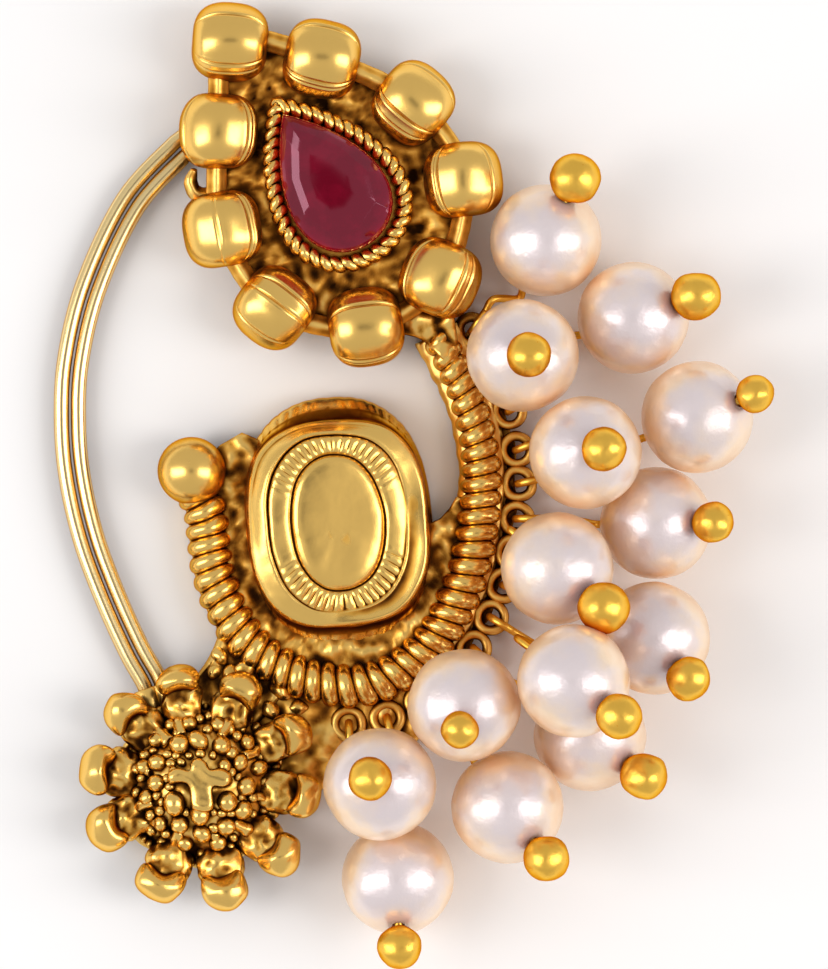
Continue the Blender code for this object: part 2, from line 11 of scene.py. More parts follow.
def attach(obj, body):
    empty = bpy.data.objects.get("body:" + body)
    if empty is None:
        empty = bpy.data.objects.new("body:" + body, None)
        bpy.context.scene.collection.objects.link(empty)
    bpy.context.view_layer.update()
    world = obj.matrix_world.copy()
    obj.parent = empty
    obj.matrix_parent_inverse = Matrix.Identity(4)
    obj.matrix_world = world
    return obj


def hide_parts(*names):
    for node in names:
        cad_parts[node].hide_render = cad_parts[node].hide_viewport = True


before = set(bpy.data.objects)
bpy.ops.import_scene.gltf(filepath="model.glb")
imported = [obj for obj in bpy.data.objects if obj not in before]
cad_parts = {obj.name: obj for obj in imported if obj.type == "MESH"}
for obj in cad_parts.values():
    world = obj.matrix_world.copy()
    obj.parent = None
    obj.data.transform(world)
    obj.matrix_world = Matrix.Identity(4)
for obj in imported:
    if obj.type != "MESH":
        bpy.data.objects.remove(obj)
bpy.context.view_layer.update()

# Lengths are in millimetres until finish_piece turns a mesh into metres.
METRES_PER_MM = 0.001

# The photograph's frame on the ring, from which the camera is set
VIEW_CENTRE = (3.306, 1.631)
VIEW_HEIGHT = 42.15
VIEW_DISTANCE = 620.0
VIEW_DEPTH = 2.5            # height above the table at which the frame is exact

# Driving sizes, the same as the construction's
CRESCENT_RADIUS = 7.22
COIL_RADIUS = 0.95
COIL_START_SHARE = 0.74
COIL_TURNS = 43
PLATE_THICKNESS = 1.20
PLATE_EDGE = 0.22
BALL_RADIUS = 1.48
BACK_RELIEF = 0.05
BOSS_HALF_WIDTH = 4.10
BOSS_HALF_LENGTH = 5.45
BOSS_HEIGHT = 3.95
BOSS_TURN = 5.0
WEB_THICKNESS = 0.90
WEB_TOP = 1.35               # the web's uneven upper skin, under the boss
CLUSTER_CENTRE = (-0.30, 14.60)
CLUSTER_RADIUS = 6.00
CLUSTER_PLATE = 0.90
BEAD_RADIUS = 1.74
BEAD_LENGTH = 3.10
BEAD_LIFT = 0.30
BAR_RADIUS = 0.38
STONE_LENGTH = 6.80
STONE_WIDTH = 4.45
STONE_HEIGHT = 1.75
STONE_CENTRE = (-0.50, 14.92)
STONE_TURN = 34.0
SEAT_HEIGHT = 0.35
SEAT_CLEARANCE = 0.10
ROPE_RADIUS = 0.37
ROPE_GRAINS = 40
FLOWER_CENTRE = (-6.03, -11.35)
FLOWER_RADIUS = 3.70
FLOWER_HEIGHT = 3.40
WIRE_RADIUS = 0.33
WIRE_ARC_RADIUS = 12.63
WIRE_SLIT = 0.08
WIRE_CLEARANCE = 0.12
EYE_ANGLES = (110.0, 90.0, 70.0, 52.0, 35.0, 17.0, 0.0, -17.0, -35.0, -52.0, -70.0, -90.0, -110.0)
PEG_RADIUS = 0.34
SLEEVE_WALL = 0.14
SLEEVE_LENGTH = 1.50
PEARL_RADIUS = 2.46
DRILL_RADIUS = 0.29
PIN_RADIUS = 0.17
PIN_BALL_RADIUS = 1.00
PIN_LOOP_RADIUS = 0.65
EYELET_RADIUS = 0.60
EYELET_WIRE = 0.22
EYELET_HEIGHT = 0.90
RIM_RADIUS = 7.30
BURIED = 0.30

WIRE_HEIGHT = SLEEVE_WALL + WIRE_CLEARANCE + WIRE_RADIUS
CLUSTER_BACK = WIRE_HEIGHT + WIRE_RADIUS + WIRE_CLEARANCE
CLUSTER_TOP = CLUSTER_BACK + CLUSTER_PLATE
BEAD_HEIGHT = CLUSTER_BACK + BEAD_RADIUS * (1.0 - BEAD_LIFT)
SLEEVE_HEIGHT = 2.0 * WIRE_HEIGHT
EYELET_DISTANCE = COIL_RADIUS + PLATE_EDGE + EYELET_RADIUS - EYELET_WIRE / 2.0

# The tube's middle line, seen from the boss centre
Bend = namedtuple("Bend", "angle share")
CRESCENT = (
    Bend(62.6, 1.283), Bend(45.0, 1.090), Bend(23.8, 0.942), Bend(-1.6, 0.843),
    Bend(-28.4, 0.849), Bend(-54.2, 0.928), Bend(-78.8, 0.994), Bend(-103.0, 0.964),
    Bend(-127.0, 0.907), Bend(-154.8, 0.819), Bend(-183.0, 0.801), Bend(-199.2, 0.937),
)
# The nose wire's middle line, seen from the boss centre
NOSE_WIRE = (
    Bend(112.9, 1.400), Bend(123.0, 1.315), Bend(136.3, 1.180), Bend(148.7, 1.072),
    Bend(160.0, 0.986), Bend(171.0, 0.920), Bend(184.1, 0.863), Bend(198.4, 0.829),
    Bend(212.0, 0.832), Bend(220.0, 0.846), Bend(225.0, 0.875),
)
# The nine beads, seen from the cluster centre
BEADS = (
    Bend(124.9, 1.28), Bend(94.0, 0.93), Bend(45.5, 0.85), Bend(3.0, 0.96),
    Bend(-40.0, 1.035), Bend(-76.0, 1.05), Bend(-115.0, 0.97), Bend(-158.7, 0.85),
    Bend(153.7, 0.91),
)
# The way each bead's axis points, and its deep grooves as degrees from its top outwards
BeadLines = namedtuple("BeadLines", "heading first second third")
BEAD_LINES = (
    BeadLines(-5.0, 41.0, -37.0, -54.0), BeadLines(-12.0, 52.0, -38.0, -47.0),
    BeadLines(-40.0, -27.0, -50.0, 58.0), BeadLines(-83.0, -41.0, -48.0, 47.0),
    BeadLines(-114.0, -56.0, 30.0, 47.0), BeadLines(-172.0, -33.0, 57.0, 65.0),
    BeadLines(143.0, -34.0, -8.0, 48.0), BeadLines(99.0, -46.0, -56.0, 5.0),
    BeadLines(88.0, -50.0, 60.0, -62.0),
)
WIRE_BEAD = 8

# Each pearl: its place beyond the rim in pearl diameters, the aim of its ball head, its
# rim eyelet and the size of its ball head as a share of the usual one
Pearl = namedtuple("Pearl", "angle share lift azimuth rise eyelet head")
PEARLS = (
    Pearl(53.6, 1.61, 0.55, 64.6, 34.6, 55.0, 1.12),
    Pearl(34.7, 1.69, 0.53, 18.7, 35.7, 33.0, 1.05),
    Pearl(42.0, 0.71, 0.94, 0.0, 86.0, 44.0, 0.97),
    Pearl(16.3, 1.82, 0.75, 21.6, 36.3, 12.0, 0.84),
    Pearl(15.7, 0.78, 1.10, 12.0, 77.0, 22.0, 0.96),
    Pearl(-0.2, 1.33, 0.53, 1.0, 44.0, 1.0, 0.90),
    Pearl(-11.9, 0.49, 1.08, -40.0, 43.0, -10.0, 1.12),
    Pearl(-20.2, 1.49, 0.69, -50.3, 49.0, -21.0, 0.96),
    Pearl(-33.9, 1.01, 1.60, -37.3, 44.3, -32.0, 0.99),
    Pearl(-40.2, 1.43, 0.53, -37.2, 32.6, -43.0, 1.02),
    Pearl(-55.3, 0.47, 1.26, -100.2, 71.7, -54.0, 0.83),
    Pearl(-80.8, 0.85, 1.12, 145.0, 81.3, -76.0, 0.95),
    Pearl(-59.2, 1.44, 0.87, -53.0, 37.5, -65.0, 1.00),
    Pearl(-80.5, 1.71, 0.53, -88.8, 31.2, -87.0, 0.98),
)


# Lines and places

def polar(angle, reach, height=0.0):
    turn = math.radians(angle)
    return Vector((reach * math.cos(turn), reach * math.sin(turn), height))


def smooth_line(points, steps, closed=False):
    """Points of a Catmull-Rom line through the given points."""
    count = len(points)
    line = []
    for i in range(count if closed else count - 1):
        if closed:
            p0, p1, p2, p3 = (points[(i + k) % count] for k in (-1, 0, 1, 2))
        else:
            p0, p1, p2, p3 = (points[min(max(i + k, 0), count - 1)] for k in (-1, 0, 1, 2))
        for step in range(steps):
            t = step / steps
            line.append(0.5 * (2.0 * p1 + (p2 - p0) * t
                               + (2.0 * p0 - 5.0 * p1 + 4.0 * p2 - p3) * t * t
                               + (3.0 * p1 - p0 - 3.0 * p2 + p3) * t ** 3))
    if not closed:
        line.append(points[-1].copy())
    return line


def even_line(line, count, closed=False):
    """The same line cut into count equal lengths."""
    path = line + [line[0]] if closed else line
    lengths = [0.0]
    for first, second in zip(path, path[1:]):
        lengths.append(lengths[-1] + (second - first).length)
    even = []
    place = 0
    for i in range(count if closed else count + 1):
        wanted = lengths[-1] * i / count
        while place < len(path) - 2 and lengths[place + 1] < wanted:
            place += 1
        share = (wanted - lengths[place]) / (lengths[place + 1] - lengths[place])
        even.append(path[place].lerp(path[place + 1], share))
    return even


def side_of(line, i, closed=False):
    count = len(line)
    if closed:
        ahead = line[(i + 1) % count] - line[i - 1]
    else:
        ahead = line[min(i + 1, count - 1)] - line[max(i - 1, 0)]
    return Vector((-ahead.y, ahead.x, 0.0)).normalized()


def offset_line(line, distance, closed=False):
    return [point + side_of(line, i, closed) * distance for i, point in enumerate(line)]


def crescent_line(steps=24):
    points = [polar(bend.angle, bend.share * CRESCENT_RADIUS) for bend in CRESCENT]
    return smooth_line(points, steps)


def crescent_reach(angle):
    wanted = polar(angle, 1.0)
    best = max(crescent_line(), key=lambda point: point.normalized().dot(wanted))
    return best.length


def bead_places():
    centre = Vector((*CLUSTER_CENTRE, 0.0))
    return [centre + polar(bend.angle, bend.share * CLUSTER_RADIUS) for bend in BEADS]


def wobble(point, scale, amount, seed=0.0):
    """A smooth change of place, as a casting has."""
    moved = Vector((point.x + seed, point.y - seed, point.z + 2.0 * seed)) / scale
    return noise.noise_vector(moved) * amount


# Mesh helpers

def next_ring(bm, ring, edges, points):
    """Extrude a ring of vertices to new points. Gives the new ring and its edges."""
    grown = bmesh.ops.extrude_edge_only(bm, edges=edges)["geom"]
    new_verts = {item for item in grown if isinstance(item, bmesh.types.BMVert)}
    new_edges = [item for item in grown if isinstance(item, bmesh.types.BMEdge)
                 and item.verts[0] in new_verts and item.verts[1] in new_verts]
    new_ring = []
    for vert in ring:
        for edge in vert.link_edges:
            other = edge.other_vert(vert)
            if other in new_verts:
                new_ring.append(other)
                break
    for vert, point in zip(new_ring, points):
        vert.co = point
    return new_ring, new_edges


def loft_into(bm, sections, closed=False):
    """Skin a row of closed sections, each a list of as many points."""
    ring = bmesh.ops.create_circle(bm, segments=len(sections[0]), radius=1.0)["verts"]
    for vert, point in zip(ring, sections[0]):
        vert.co = point
    first = list(ring)
    edges = list({edge for vert in ring for edge in vert.link_edges})
    first_edges = list(edges)
    for points in sections[1:]:
        ring, edges = next_ring(bm, ring, edges, points)
    if closed:
        ring, edges = next_ring(bm, ring, edges, [vert.co.copy() for vert in first])
        bmesh.ops.remove_doubles(bm, verts=first + ring, dist=0.00001)
    else:
        bmesh.ops.holes_fill(bm, edges=first_edges, sides=0)
        bmesh.ops.holes_fill(bm, edges=edges, sides=0)


def frames_along(points, closed=False):
    """Side and up vectors at each point that turn as little as possible."""
    count = len(points)
    frames = []
    up = Vector((0.0, 0.0, 1.0))
    for i in range(count):
        if closed:
            ahead = points[(i + 1) % count] - points[i - 1]
        else:
            ahead = points[min(i + 1, count - 1)] - points[max(i - 1, 0)]
        ahead.normalize()
        side = up.cross(ahead)
        if side.length < 0.05:
            side = Vector((1.0, 0.0, 0.0)).cross(ahead)
        side.normalize()
        up = ahead.cross(side)
        frames.append((side, up.copy()))
    return frames


def tube_into(bm, points, radius, sides, closed=False):
    """Tube along points; radius is a number or a function of share along and angle."""
    frames = frames_along(points, closed)
    sections = []
    last = len(points) if closed else len(points) - 1
    for i, (point, (side, up)) in enumerate(zip(points, frames)):
        section = []
        for k in range(sides):
            turn = 2.0 * math.pi * k / sides
            reach = radius(i / last, turn) if callable(radius) else radius
            section.append(point + side * (reach * math.cos(turn)) + up * (reach * math.sin(turn)))
        sections.append(section)
    loft_into(bm, sections, closed)


def spin_into(bm, profile, steps, place):
    """Turn a profile of (distance, height) pairs round the local Z axis of an empty mesh."""
    verts = [bm.verts.new((distance, 0.0, height)) for distance, height in profile]
    edges = [bm.edges.new(pair) for pair in zip(verts, verts[1:])]
    bmesh.ops.spin(bm, geom=verts + edges, cent=(0.0, 0.0, 0.0), axis=(0.0, 0.0, 1.0),
                   angle=2.0 * math.pi, steps=steps, use_merge=True)
    bmesh.ops.remove_doubles(bm, verts=bm.verts[:], dist=0.0001)
    bmesh.ops.transform(bm, matrix=place, verts=bm.verts[:])


def ball_into(bm, centre, radius, sides=32, scale=(1.0, 1.0, 1.0), turn=0.0, dents=0.0):
    place = (Matrix.Translation(centre) @ Matrix.Rotation(math.radians(turn), 4, "Z")
             @ Matrix.Diagonal((*scale, 1.0)))
    made = bmesh.ops.create_uvsphere(bm, u_segments=sides, v_segments=sides * 5 // 8,
                                     radius=radius, matrix=place)
    for vert in made["verts"]:
        vert.co += wobble(vert.co, 1.1 * radius, dents * radius)
    return made["verts"]


def slab_into(bm, outline, bottom, top, bevel=0.1, roughness=0.0):
    """Flat plate on an outline, with rounded edges and an uneven face."""
    ring = bmesh.ops.create_circle(bm, segments=len(outline), radius=1.0, cap_ends=True)["verts"]
    for vert, point in zip(ring, outline):
        vert.co = Vector((point.x, point.y, bottom))
    face = next(iter(set(ring[0].link_faces)))
    made = bmesh.ops.extrude_face_region(bm, geom=[face], use_keep_orig=True)["geom"]
    upper = [item for item in made if isinstance(item, bmesh.types.BMVert)]
    bmesh.ops.translate(bm, verts=upper, vec=(0.0, 0.0, top - bottom))
    rim = [item for item in made if isinstance(item, bmesh.types.BMEdge)]
    cut = bmesh.ops.bevel(bm, geom=rim, offset=bevel, segments=3, profile=0.5, affect="EDGES",
                          material=-1)
    for vert in cut["verts"]:
        vert.co += wobble(vert.co, 0.7, roughness)


def roughened(bm, spacing, amount, depth):
    """Cut a flat piece finer and give it the soft, uneven skin of a casting."""
    bmesh.ops.triangulate(bm, faces=bm.faces[:])
    for _ in range(6):
        long_edges = [edge for edge in bm.edges if edge.calc_length() > spacing]
        if not long_edges:
            break
        bmesh.ops.subdivide_edges(bm, edges=long_edges, cuts=1)
        bmesh.ops.triangulate(bm, faces=[face for face in bm.faces if len(face.verts) > 3])
    for vert in bm.verts:
        if vert.co.z > depth:
            flat = Vector((vert.co.x, vert.co.y, 0.0))
            vert.co.z += (amount * noise.noise(flat / 1.2) + 0.45 * amount * noise.noise(flat / 0.5)
                          + 0.12 * amount * noise.noise(flat / 0.2))
    for _ in range(3):
        inner = [vert for vert in bm.verts if vert.co.z > depth]
        bmesh.ops.smooth_vert(bm, verts=inner, factor=0.4, use_axis_x=True, use_axis_y=True,
                              use_axis_z=True)


def hollows(mesh, passes, reach):
    """How far each vertex lies in a hollow, from 0 on a crest to 1 in a groove."""
    count = len(mesh.vertices)
    places = np.empty(count * 3)
    mesh.vertices.foreach_get("co", places)
    places = places.reshape(count, 3)
    normals = np.empty(count * 3)
    mesh.vertices.foreach_get("normal", normals)
    normals = normals.reshape(count, 3)
    edges = np.empty(len(mesh.edges) * 2, dtype=np.int64)
    mesh.edges.foreach_get("vertices", edges)
    edges = edges.reshape(-1, 2)
    links = np.zeros(count)
    np.add.at(links, edges[:, 0], 1.0)
    np.add.at(links, edges[:, 1], 1.0)
    links = np.maximum(links, 1.0)[:, None]
    smoothed = places.copy()
    for _ in range(passes):
        total = np.zeros_like(smoothed)
        np.add.at(total, edges[:, 0], smoothed[edges[:, 1]])
        np.add.at(total, edges[:, 1], smoothed[edges[:, 0]])
        smoothed = 0.5 * smoothed + 0.5 * total / links
    depth = np.einsum("ij,ij->i", smoothed - places, normals)
    return np.clip(0.5 + depth / (2.0 * reach), 0.0, 1.0)


def finish_piece(name, bm, material, nodes, passes=6, reach=0.05, darkness_offset=None):
    """Turn a bmesh in millimetres into a named piece; an optional function of place adds to or takes from its
    darkness.
    """
    for vert in bm.verts:
        vert.co.z = max(vert.co.z, 0.0)
    bmesh.ops.recalc_face_normals(bm, faces=bm.faces)
    mesh = bpy.data.meshes.new(name)
    bm.to_mesh(mesh)
    bm.free()
    worn = hollows(mesh, passes, reach)
    if darkness_offset:
        worn += [darkness_offset(vert.co) for vert in mesh.vertices]
    mesh.transform(Matrix.Scale(METRES_PER_MM, 4))
    layer = mesh.attributes.new("hollow", "FLOAT", "POINT")
    layer.data.foreach_set("value", worn.astype(np.float32))
    # Steepness: the gold paints shade on steep sides from it, and the pearls paint a warm reflected rim.
    layer = mesh.attributes.new("steep", "FLOAT", "POINT")
    layer.data.foreach_set("value", [0.5 - 0.5 * vert.normal.z for vert in mesh.vertices])
    for face in mesh.polygons:
        face.use_smooth = True
    mesh.materials.append(material)
    piece = bpy.data.objects.new(name, mesh)
    bpy.context.scene.collection.objects.link(piece)
    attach(piece, "root")
    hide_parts(*nodes)
    return piece


# Crescent

def coil_radius(share, turn):
    """Radius of the wound tube: one rounded ridge for each turn of its wire."""
    lean = 0.20 * math.cos(turn) + 0.05 * math.sin(9.0 * share * math.pi)
    place = share * COIL_TURNS + lean
    number = math.floor(place)
    across = 2.0 * (place - number) - 1.0
    ridge = math.sqrt(max(0.0, 1.0 - across * across))
    chance = random.Random(number + 11)
    size = 1.0 + chance.uniform(-0.035, 0.035)
    grown = min(1.0, COIL_START_SHARE + (1.0 - COIL_START_SHARE) * share / 0.3)
    flat = 1.0 - 0.06 * max(0.0, math.sin(turn))
    return 1.03 * COIL_RADIUS * grown * flat * (0.66 + 0.34 * size * ridge ** 1.15)


def make_coil(gold):
    bm = bmesh.new()
    line = even_line(crescent_line(), COIL_TURNS * 12)
    points = [point + Vector((0.0, 0.0, PLATE_THICKNESS)) for point in line]
    tube_into(bm, points, coil_radius, 36)
    for vert in bm.verts:
        vert.co += wobble(vert.co, 0.9, 0.035)
    finish_piece("crescent_coil", bm, gold, ["cast_body"], passes=12, reach=0.06)


def plate_reach(share):
    """How far the plate reaches outside and inside the tube's middle line."""
    right = min(1.0, max(0.0, (0.50 - share) / 0.08))
    upper = min(1.0, max(0.0, (0.34 - share) / 0.06))
    return COIL_RADIUS - 0.15 + 0.30 * right, COIL_RADIUS - 0.20 + 0.26 * upper


def make_crescent_plate(gold):
    bm = bmesh.new()
    line = even_line(crescent_line(), 200)
    sections = []
    for i, point in enumerate(line):
        side = side_of(line, i)
        outer, inner = plate_reach(i / 200)
        outer += 0.08 * noise.noise(point * 1.7)
        inner = -inner + 0.08 * noise.noise(point * 2.1 + Vector((5.0, 0.0, 0.0)))
        top = PLATE_THICKNESS
        corners = ((outer - 0.10, 0.0), (outer, 0.12), (outer, 0.55 * top), (outer - 0.05, top - 0.25),
                   (outer - 0.22, top - 0.05), (outer - 0.5, top), (inner + 0.4, top),
                   (inner + 0.15, top - 0.08), (inner, top - 0.3), (inner, 0.12), (inner + 0.1, 0.0))
        sections.append([point + side * across + Vector((0.0, 0.0, height))
                         for across, height in corners])
    loft_into(bm, sections)
    for vert in bm.verts:
        if vert.co.z > 0.1:
            vert.co += wobble(vert.co, 0.6, 0.07)
    finish_piece("crescent_plate", bm, gold, ["cast_body"])


def make_end_ball(gold):
    bm = bmesh.new()
    end = crescent_line()[-1]
    ball_into(bm, Vector((end.x, end.y, BACK_RELIEF + BALL_RADIUS)), BALL_RADIUS, 64, dents=0.012)
    finish_piece("end_ball", bm, gold, ["cast_body"], reach=0.2)


LOWER_PLATE_TOP = 0.95


def make_back_plate(gold, bright):
    """Thin plate that shows past the tube, behind the rim eyelets and beside the flower."""
    bm = bmesh.new()
    band = []
    for angle in range(56, -56, -4):
        reach = crescent_reach(angle) + COIL_RADIUS
        band.append((angle, reach - 1.2, reach + 0.62 + 0.10 * math.sin(angle * 0.35)))
    outline = [polar(angle, outer) for angle, inner, outer in band]
    outline += [polar(angle, inner) for angle, inner, outer in reversed(band)]
    slab_into(bm, outline, 0.02, 0.34, 0.08)
    roughened(bm, 0.25, 0.16, 0.2)
    finish_piece("rim_plate", bm, gold, ["cast_body"])
    bm = bmesh.new()
    outline = [Vector((x, y, 0.0)) for x, y in LOWER_PLATE]
    slab_into(bm, smooth_line(outline, 4, closed=True), 0.05, LOWER_PLATE_TOP, 0.18)
    roughened(bm, 0.20, 0.26, 0.5)
    finish_piece("lower_plate", bm, bright, ["cast_body"])


# Outline of the sheet below the tube's lowest turns, in millimetres
LOWER_PLATE = ((-3.3, -6.8), (0.5, -7.2), (3.3, -7.0), (4.0, -8.0), (3.4, -9.6), (1.2, -9.5), (0.1, -9.9),
               (-0.4, -11.2), (-1.2, -12.0), (-2.8, -11.2), (-3.8, -9.2))
# Upper left edge of the web, from the end ball to the boss
WEB_EDGE = ((-5.15, 3.35), (-4.2, 3.9), (-2.0, 3.0), (2.8, 0.3), (4.0, -0.05), (4.45, 0.15), (4.85, 0.60),
            (5.15, 1.10))


def make_boss_web(gold):
    bm = bmesh.new()
    line = [point for point in crescent_line(6) if point.y < 1.2 or point.x < 0.0]
    outline = line + [Vector((x, y, 0.0)) for x, y in WEB_EDGE]
    slab_into(bm, outline, BACK_RELIEF, WEB_TOP, 0.10)
    roughened(bm, 0.18, 0.22, WEB_TOP - 0.12)
    finish_piece("boss_web", bm, gold, ["cast_body"])


# Boss

# Shares of the boss's height, half width and half length, its squareness and its milling
BossLevel = namedtuple("BossLevel", "height width length power flutes")
BOSS_LEVELS = (
    BossLevel(0.00, 0.985, 0.985, 2.4, 0.0), BossLevel(0.06, 1.000, 1.000, 2.4, 0.4),
    BossLevel(0.20, 1.000, 1.000, 2.4, 0.6), BossLevel(0.28, 0.998, 0.996, 2.4, 0.6),
    BossLevel(0.315, 0.992, 0.982, 2.4, 0.5), BossLevel(0.34, 0.984, 0.960, 2.4, 0.4),
    BossLevel(0.370, 0.976, 0.930, 2.5, 0.4), BossLevel(0.400, 0.968, 0.895, 2.6, 0.3),
    BossLevel(0.450, 0.963, 0.868, 2.7, 0.1), BossLevel(0.52, 0.960, 0.853, 2.7, 0.0),
    BossLevel(0.60, 0.958, 0.843, 2.75, 0.0), BossLevel(0.70, 0.956, 0.837, 2.75, 0.0),
    BossLevel(0.78, 0.952, 0.833, 2.75, 0.0), BossLevel(0.815, 0.944, 0.826, 2.75, 0.0),
    BossLevel(0.835, 0.930, 0.816, 2.75, 0.0), BossLevel(0.845, 0.905, 0.798, 2.7, 0.0),
    BossLevel(0.865, 0.860, 0.775, 2.65, 0.0), BossLevel(0.890, 0.800, 0.748, 2.55, 0.0),
    BossLevel(0.900, 0.765, 0.732, 2.5, 0.0), BossLevel(0.898, 0.750, 0.724, 2.5, 0.0),
    BossLevel(0.872, 0.738, 0.716, 2.45, 0.0), BossLevel(0.882, 0.726, 0.708, 2.45, 0.1),
    BossLevel(0.902, 0.712, 0.697, 2.4, 0.5), BossLevel(0.912, 0.685, 0.678, 2.35, 1.0),
    BossLevel(0.917, 0.640, 0.648, 2.3, 1.0), BossLevel(0.920, 0.590, 0.615, 2.25, 1.0),
    BossLevel(0.920, 0.545, 0.585, 2.2, 0.8), BossLevel(0.912, 0.520, 0.565, 2.2, 0.2),
    BossLevel(0.895, 0.500, 0.553, 2.2, 0.0), BossLevel(0.905, 0.487, 0.545, 2.2, 0.0),
    BossLevel(0.940, 0.475, 0.536, 2.2, 0.0), BossLevel(0.962, 0.455, 0.522, 2.15, 0.0),
    BossLevel(0.973, 0.420, 0.490, 2.1, 0.0), BossLevel(0.978, 0.350, 0.420, 2.1, 0.0),
    BossLevel(0.980, 0.250, 0.310, 2.0, 0.0), BossLevel(0.981, 0.120, 0.150, 2.0, 0.0),
)
BOSS_FLUTES = 50
BOSS_SIDES = BOSS_FLUTES * 6
BOSS_FACE = 0.84            # share of its height at which the boss's face starts
BOSS_LEAN = (-0.085, 0.065)  # rise of the face to the right and upwards


def boss_section(level):
    """Rounded outline of the boss at one level, with its milled flutes."""
    points = []
    for i in range(BOSS_SIDES):
        turn = 2.0 * math.pi * i / BOSS_SIDES
        c = math.cos(turn)
        s = math.sin(turn)
        x = math.copysign(abs(c) ** (2.0 / level.power), c) * level.width * BOSS_HALF_WIDTH
        y = math.copysign(abs(s) ** (2.0 / level.power), s) * level.length * BOSS_HALF_LENGTH
        if level.height > 0.45 and s > 0.0:
            y *= 0.975
        ends = min(1.0, max(0.0, (abs(s) - 0.30) / 0.35))
        wave = 2.0 * abs(math.cos(0.5 * BOSS_FLUTES * turn)) ** 0.7 - 1.0
        flute = 0.042 * level.flutes * ends * wave
        z = level.height * BOSS_HEIGHT + (flute if level.height > 0.25 else 0.0)
        face = min(1.0, max(0.0, (level.height - BOSS_FACE) / 0.06))
        z += face * (BOSS_LEAN[0] * x + BOSS_LEAN[1] * y)
        outward = Vector((x, y, 0.0)).normalized() * flute * 0.6
        points.append(Vector((x, y, max(0.0, z))) + outward)
    return points


def make_boss(gold):
    bm = bmesh.new()
    loft_into(bm, [boss_section(level) for level in BOSS_LEVELS])
    bm.transform(Matrix.Rotation(math.radians(BOSS_TURN), 4, "Z"))
    for vert in bm.verts:
        if 0.3 < vert.co.z:
            vert.co += wobble(vert.co, 1.5, 0.05) + wobble(vert.co, 0.5, 0.010)
    # Lighter at mid height, easing the painted shade on the boss's side wall.
    finish_piece("boss", bm, gold, ["cast_body"], passes=8, reach=0.035,
                 darkness_offset=lambda place: -0.22 if 0.30 < place.z / BOSS_HEIGHT < 0.66 else 0.0)


# Teardrop cluster

def bead_turns(number):
    """Angles round a bead, close together at its grooves."""
    turns = {round(2.0 * math.pi * k / 64, 4) for k in range(64)}
    for line in BEAD_LINES[number][1:]:
        middle = math.radians(90.0 - line)
        turns.update(round(middle + gap, 4) for gap in
                     (-0.13, -0.09, -0.06, -0.04, -0.025, -0.012, 0.0, 0.012, 0.025, 0.04, 0.06, 0.09, 0.13))
    return sorted(turns)


def bead_groove(number, turn):
    """Depth of the grooves at an angle, with the low lip that each throws up."""
    depth = 0.0
    for place, line in enumerate(BEAD_LINES[number][1:]):
        gap = abs(turn - math.radians(90.0 - line))
        deep = (0.050, 0.036, 0.026)[place]
        depth += deep * (math.exp(-(gap / 0.026) ** 2) - 0.30 * math.exp(-((gap - 0.085) / 0.035) ** 2))
    return depth + 0.010 * abs(math.sin(4.0 * turn + number))


def bead_section(share, number, turns):
    along = 2.0 * share - 1.0
    reach = max(0.0, 1.0 - abs(along) ** 2.7) ** (1.0 / 2.3)
    reach = 0.20 + 0.80 * reach
    fade = max(0.0, 1.0 - abs(along) ** 5.0)
    points = []
    for turn in turns:
        size = BEAD_RADIUS * (reach - fade * bead_groove(number, turn))
        points.append(Vector((size * math.cos(turn), size * math.sin(turn),
                              (share - 0.5) * (BEAD_LENGTH + 0.16))))
    return points


def bead_into(bm, number, places):
    centre = places[number] + Vector((0.0, 0.0, BEAD_HEIGHT - 0.03))
    ahead = polar(BEAD_LINES[number].heading, 1.0)
    place = Matrix.Translation(centre) @ ahead.to_track_quat("Z", "Y").to_matrix().to_4x4()
    steps = 26
    shares = [0.5 - 0.5 * math.cos(math.pi * i / steps) for i in range(steps + 1)]
    turns = bead_turns(number)
    loft_into(bm, [[place @ point for point in bead_section(share, number, turns)]
                   for share in shares])


def flatten_back(bm, height):
    """Cut a piece flat at a height and close the cut."""
    geom = bm.verts[:] + bm.edges[:] + bm.faces[:]
    cut = bmesh.ops.bisect_plane(bm, geom=geom, dist=0.0001, plane_co=(0.0, 0.0, height),
                                 plane_no=(0.0, 0.0, 1.0), clear_inner=True)["geom_cut"]
    edges = [item for item in cut if isinstance(item, bmesh.types.BMEdge)]
    bmesh.ops.holes_fill(bm, edges=edges, sides=0)


def make_beads(gold):
    places = bead_places()
    for number in range(len(places)):
        bm = bmesh.new()
        bead_into(bm, number, places)
        for vert in bm.verts:
            vert.co += wobble(vert.co, 1.5, 0.05, number)
        flatten_back(bm, CLUSTER_BACK)
        finish_piece(f"melon_bead_{number + 1}", bm, gold, ["cast_body"],
                     passes=5, reach=0.05)


def bar_radius(share, turn):
    """Square bar with rounded corners and cast waists."""
    c = abs(math.cos(turn + math.pi / 4.0))
    s = abs(math.sin(turn + math.pi / 4.0))
    square = (c ** 5 + s ** 5) ** (-0.2)
    return BAR_RADIUS * square * (0.95 + 0.08 * noise.noise(Vector((70.0 * share, 3.0, 0.0))))


def make_cluster_plate(gold):
    places = bead_places()
    ring = smooth_line(places, 8, closed=True)
    bm = bmesh.new()
    outline = offset_line(ring, -0.16, closed=True)
    slab_into(bm, outline, CLUSTER_BACK, CLUSTER_TOP, 0.12)
    roughened(bm, 0.20, 0.30, CLUSTER_TOP - 0.15)
    finish_piece("cluster_plate", bm, gold, ["cast_body"])
    bm = bmesh.new()
    points = [point + Vector((0.0, 0.0, BEAD_HEIGHT)) for point in even_line(ring, 240, closed=True)]
    tube_into(bm, points, bar_radius, 24, closed=True)
    finish_piece("bead_bar", bm, gold, ["cast_body"])


def pear_point(turn):
    bulge = math.sin(turn / 2.0) ** 0.9
    return -math.sin(turn) * bulge / 0.786, math.cos(turn)


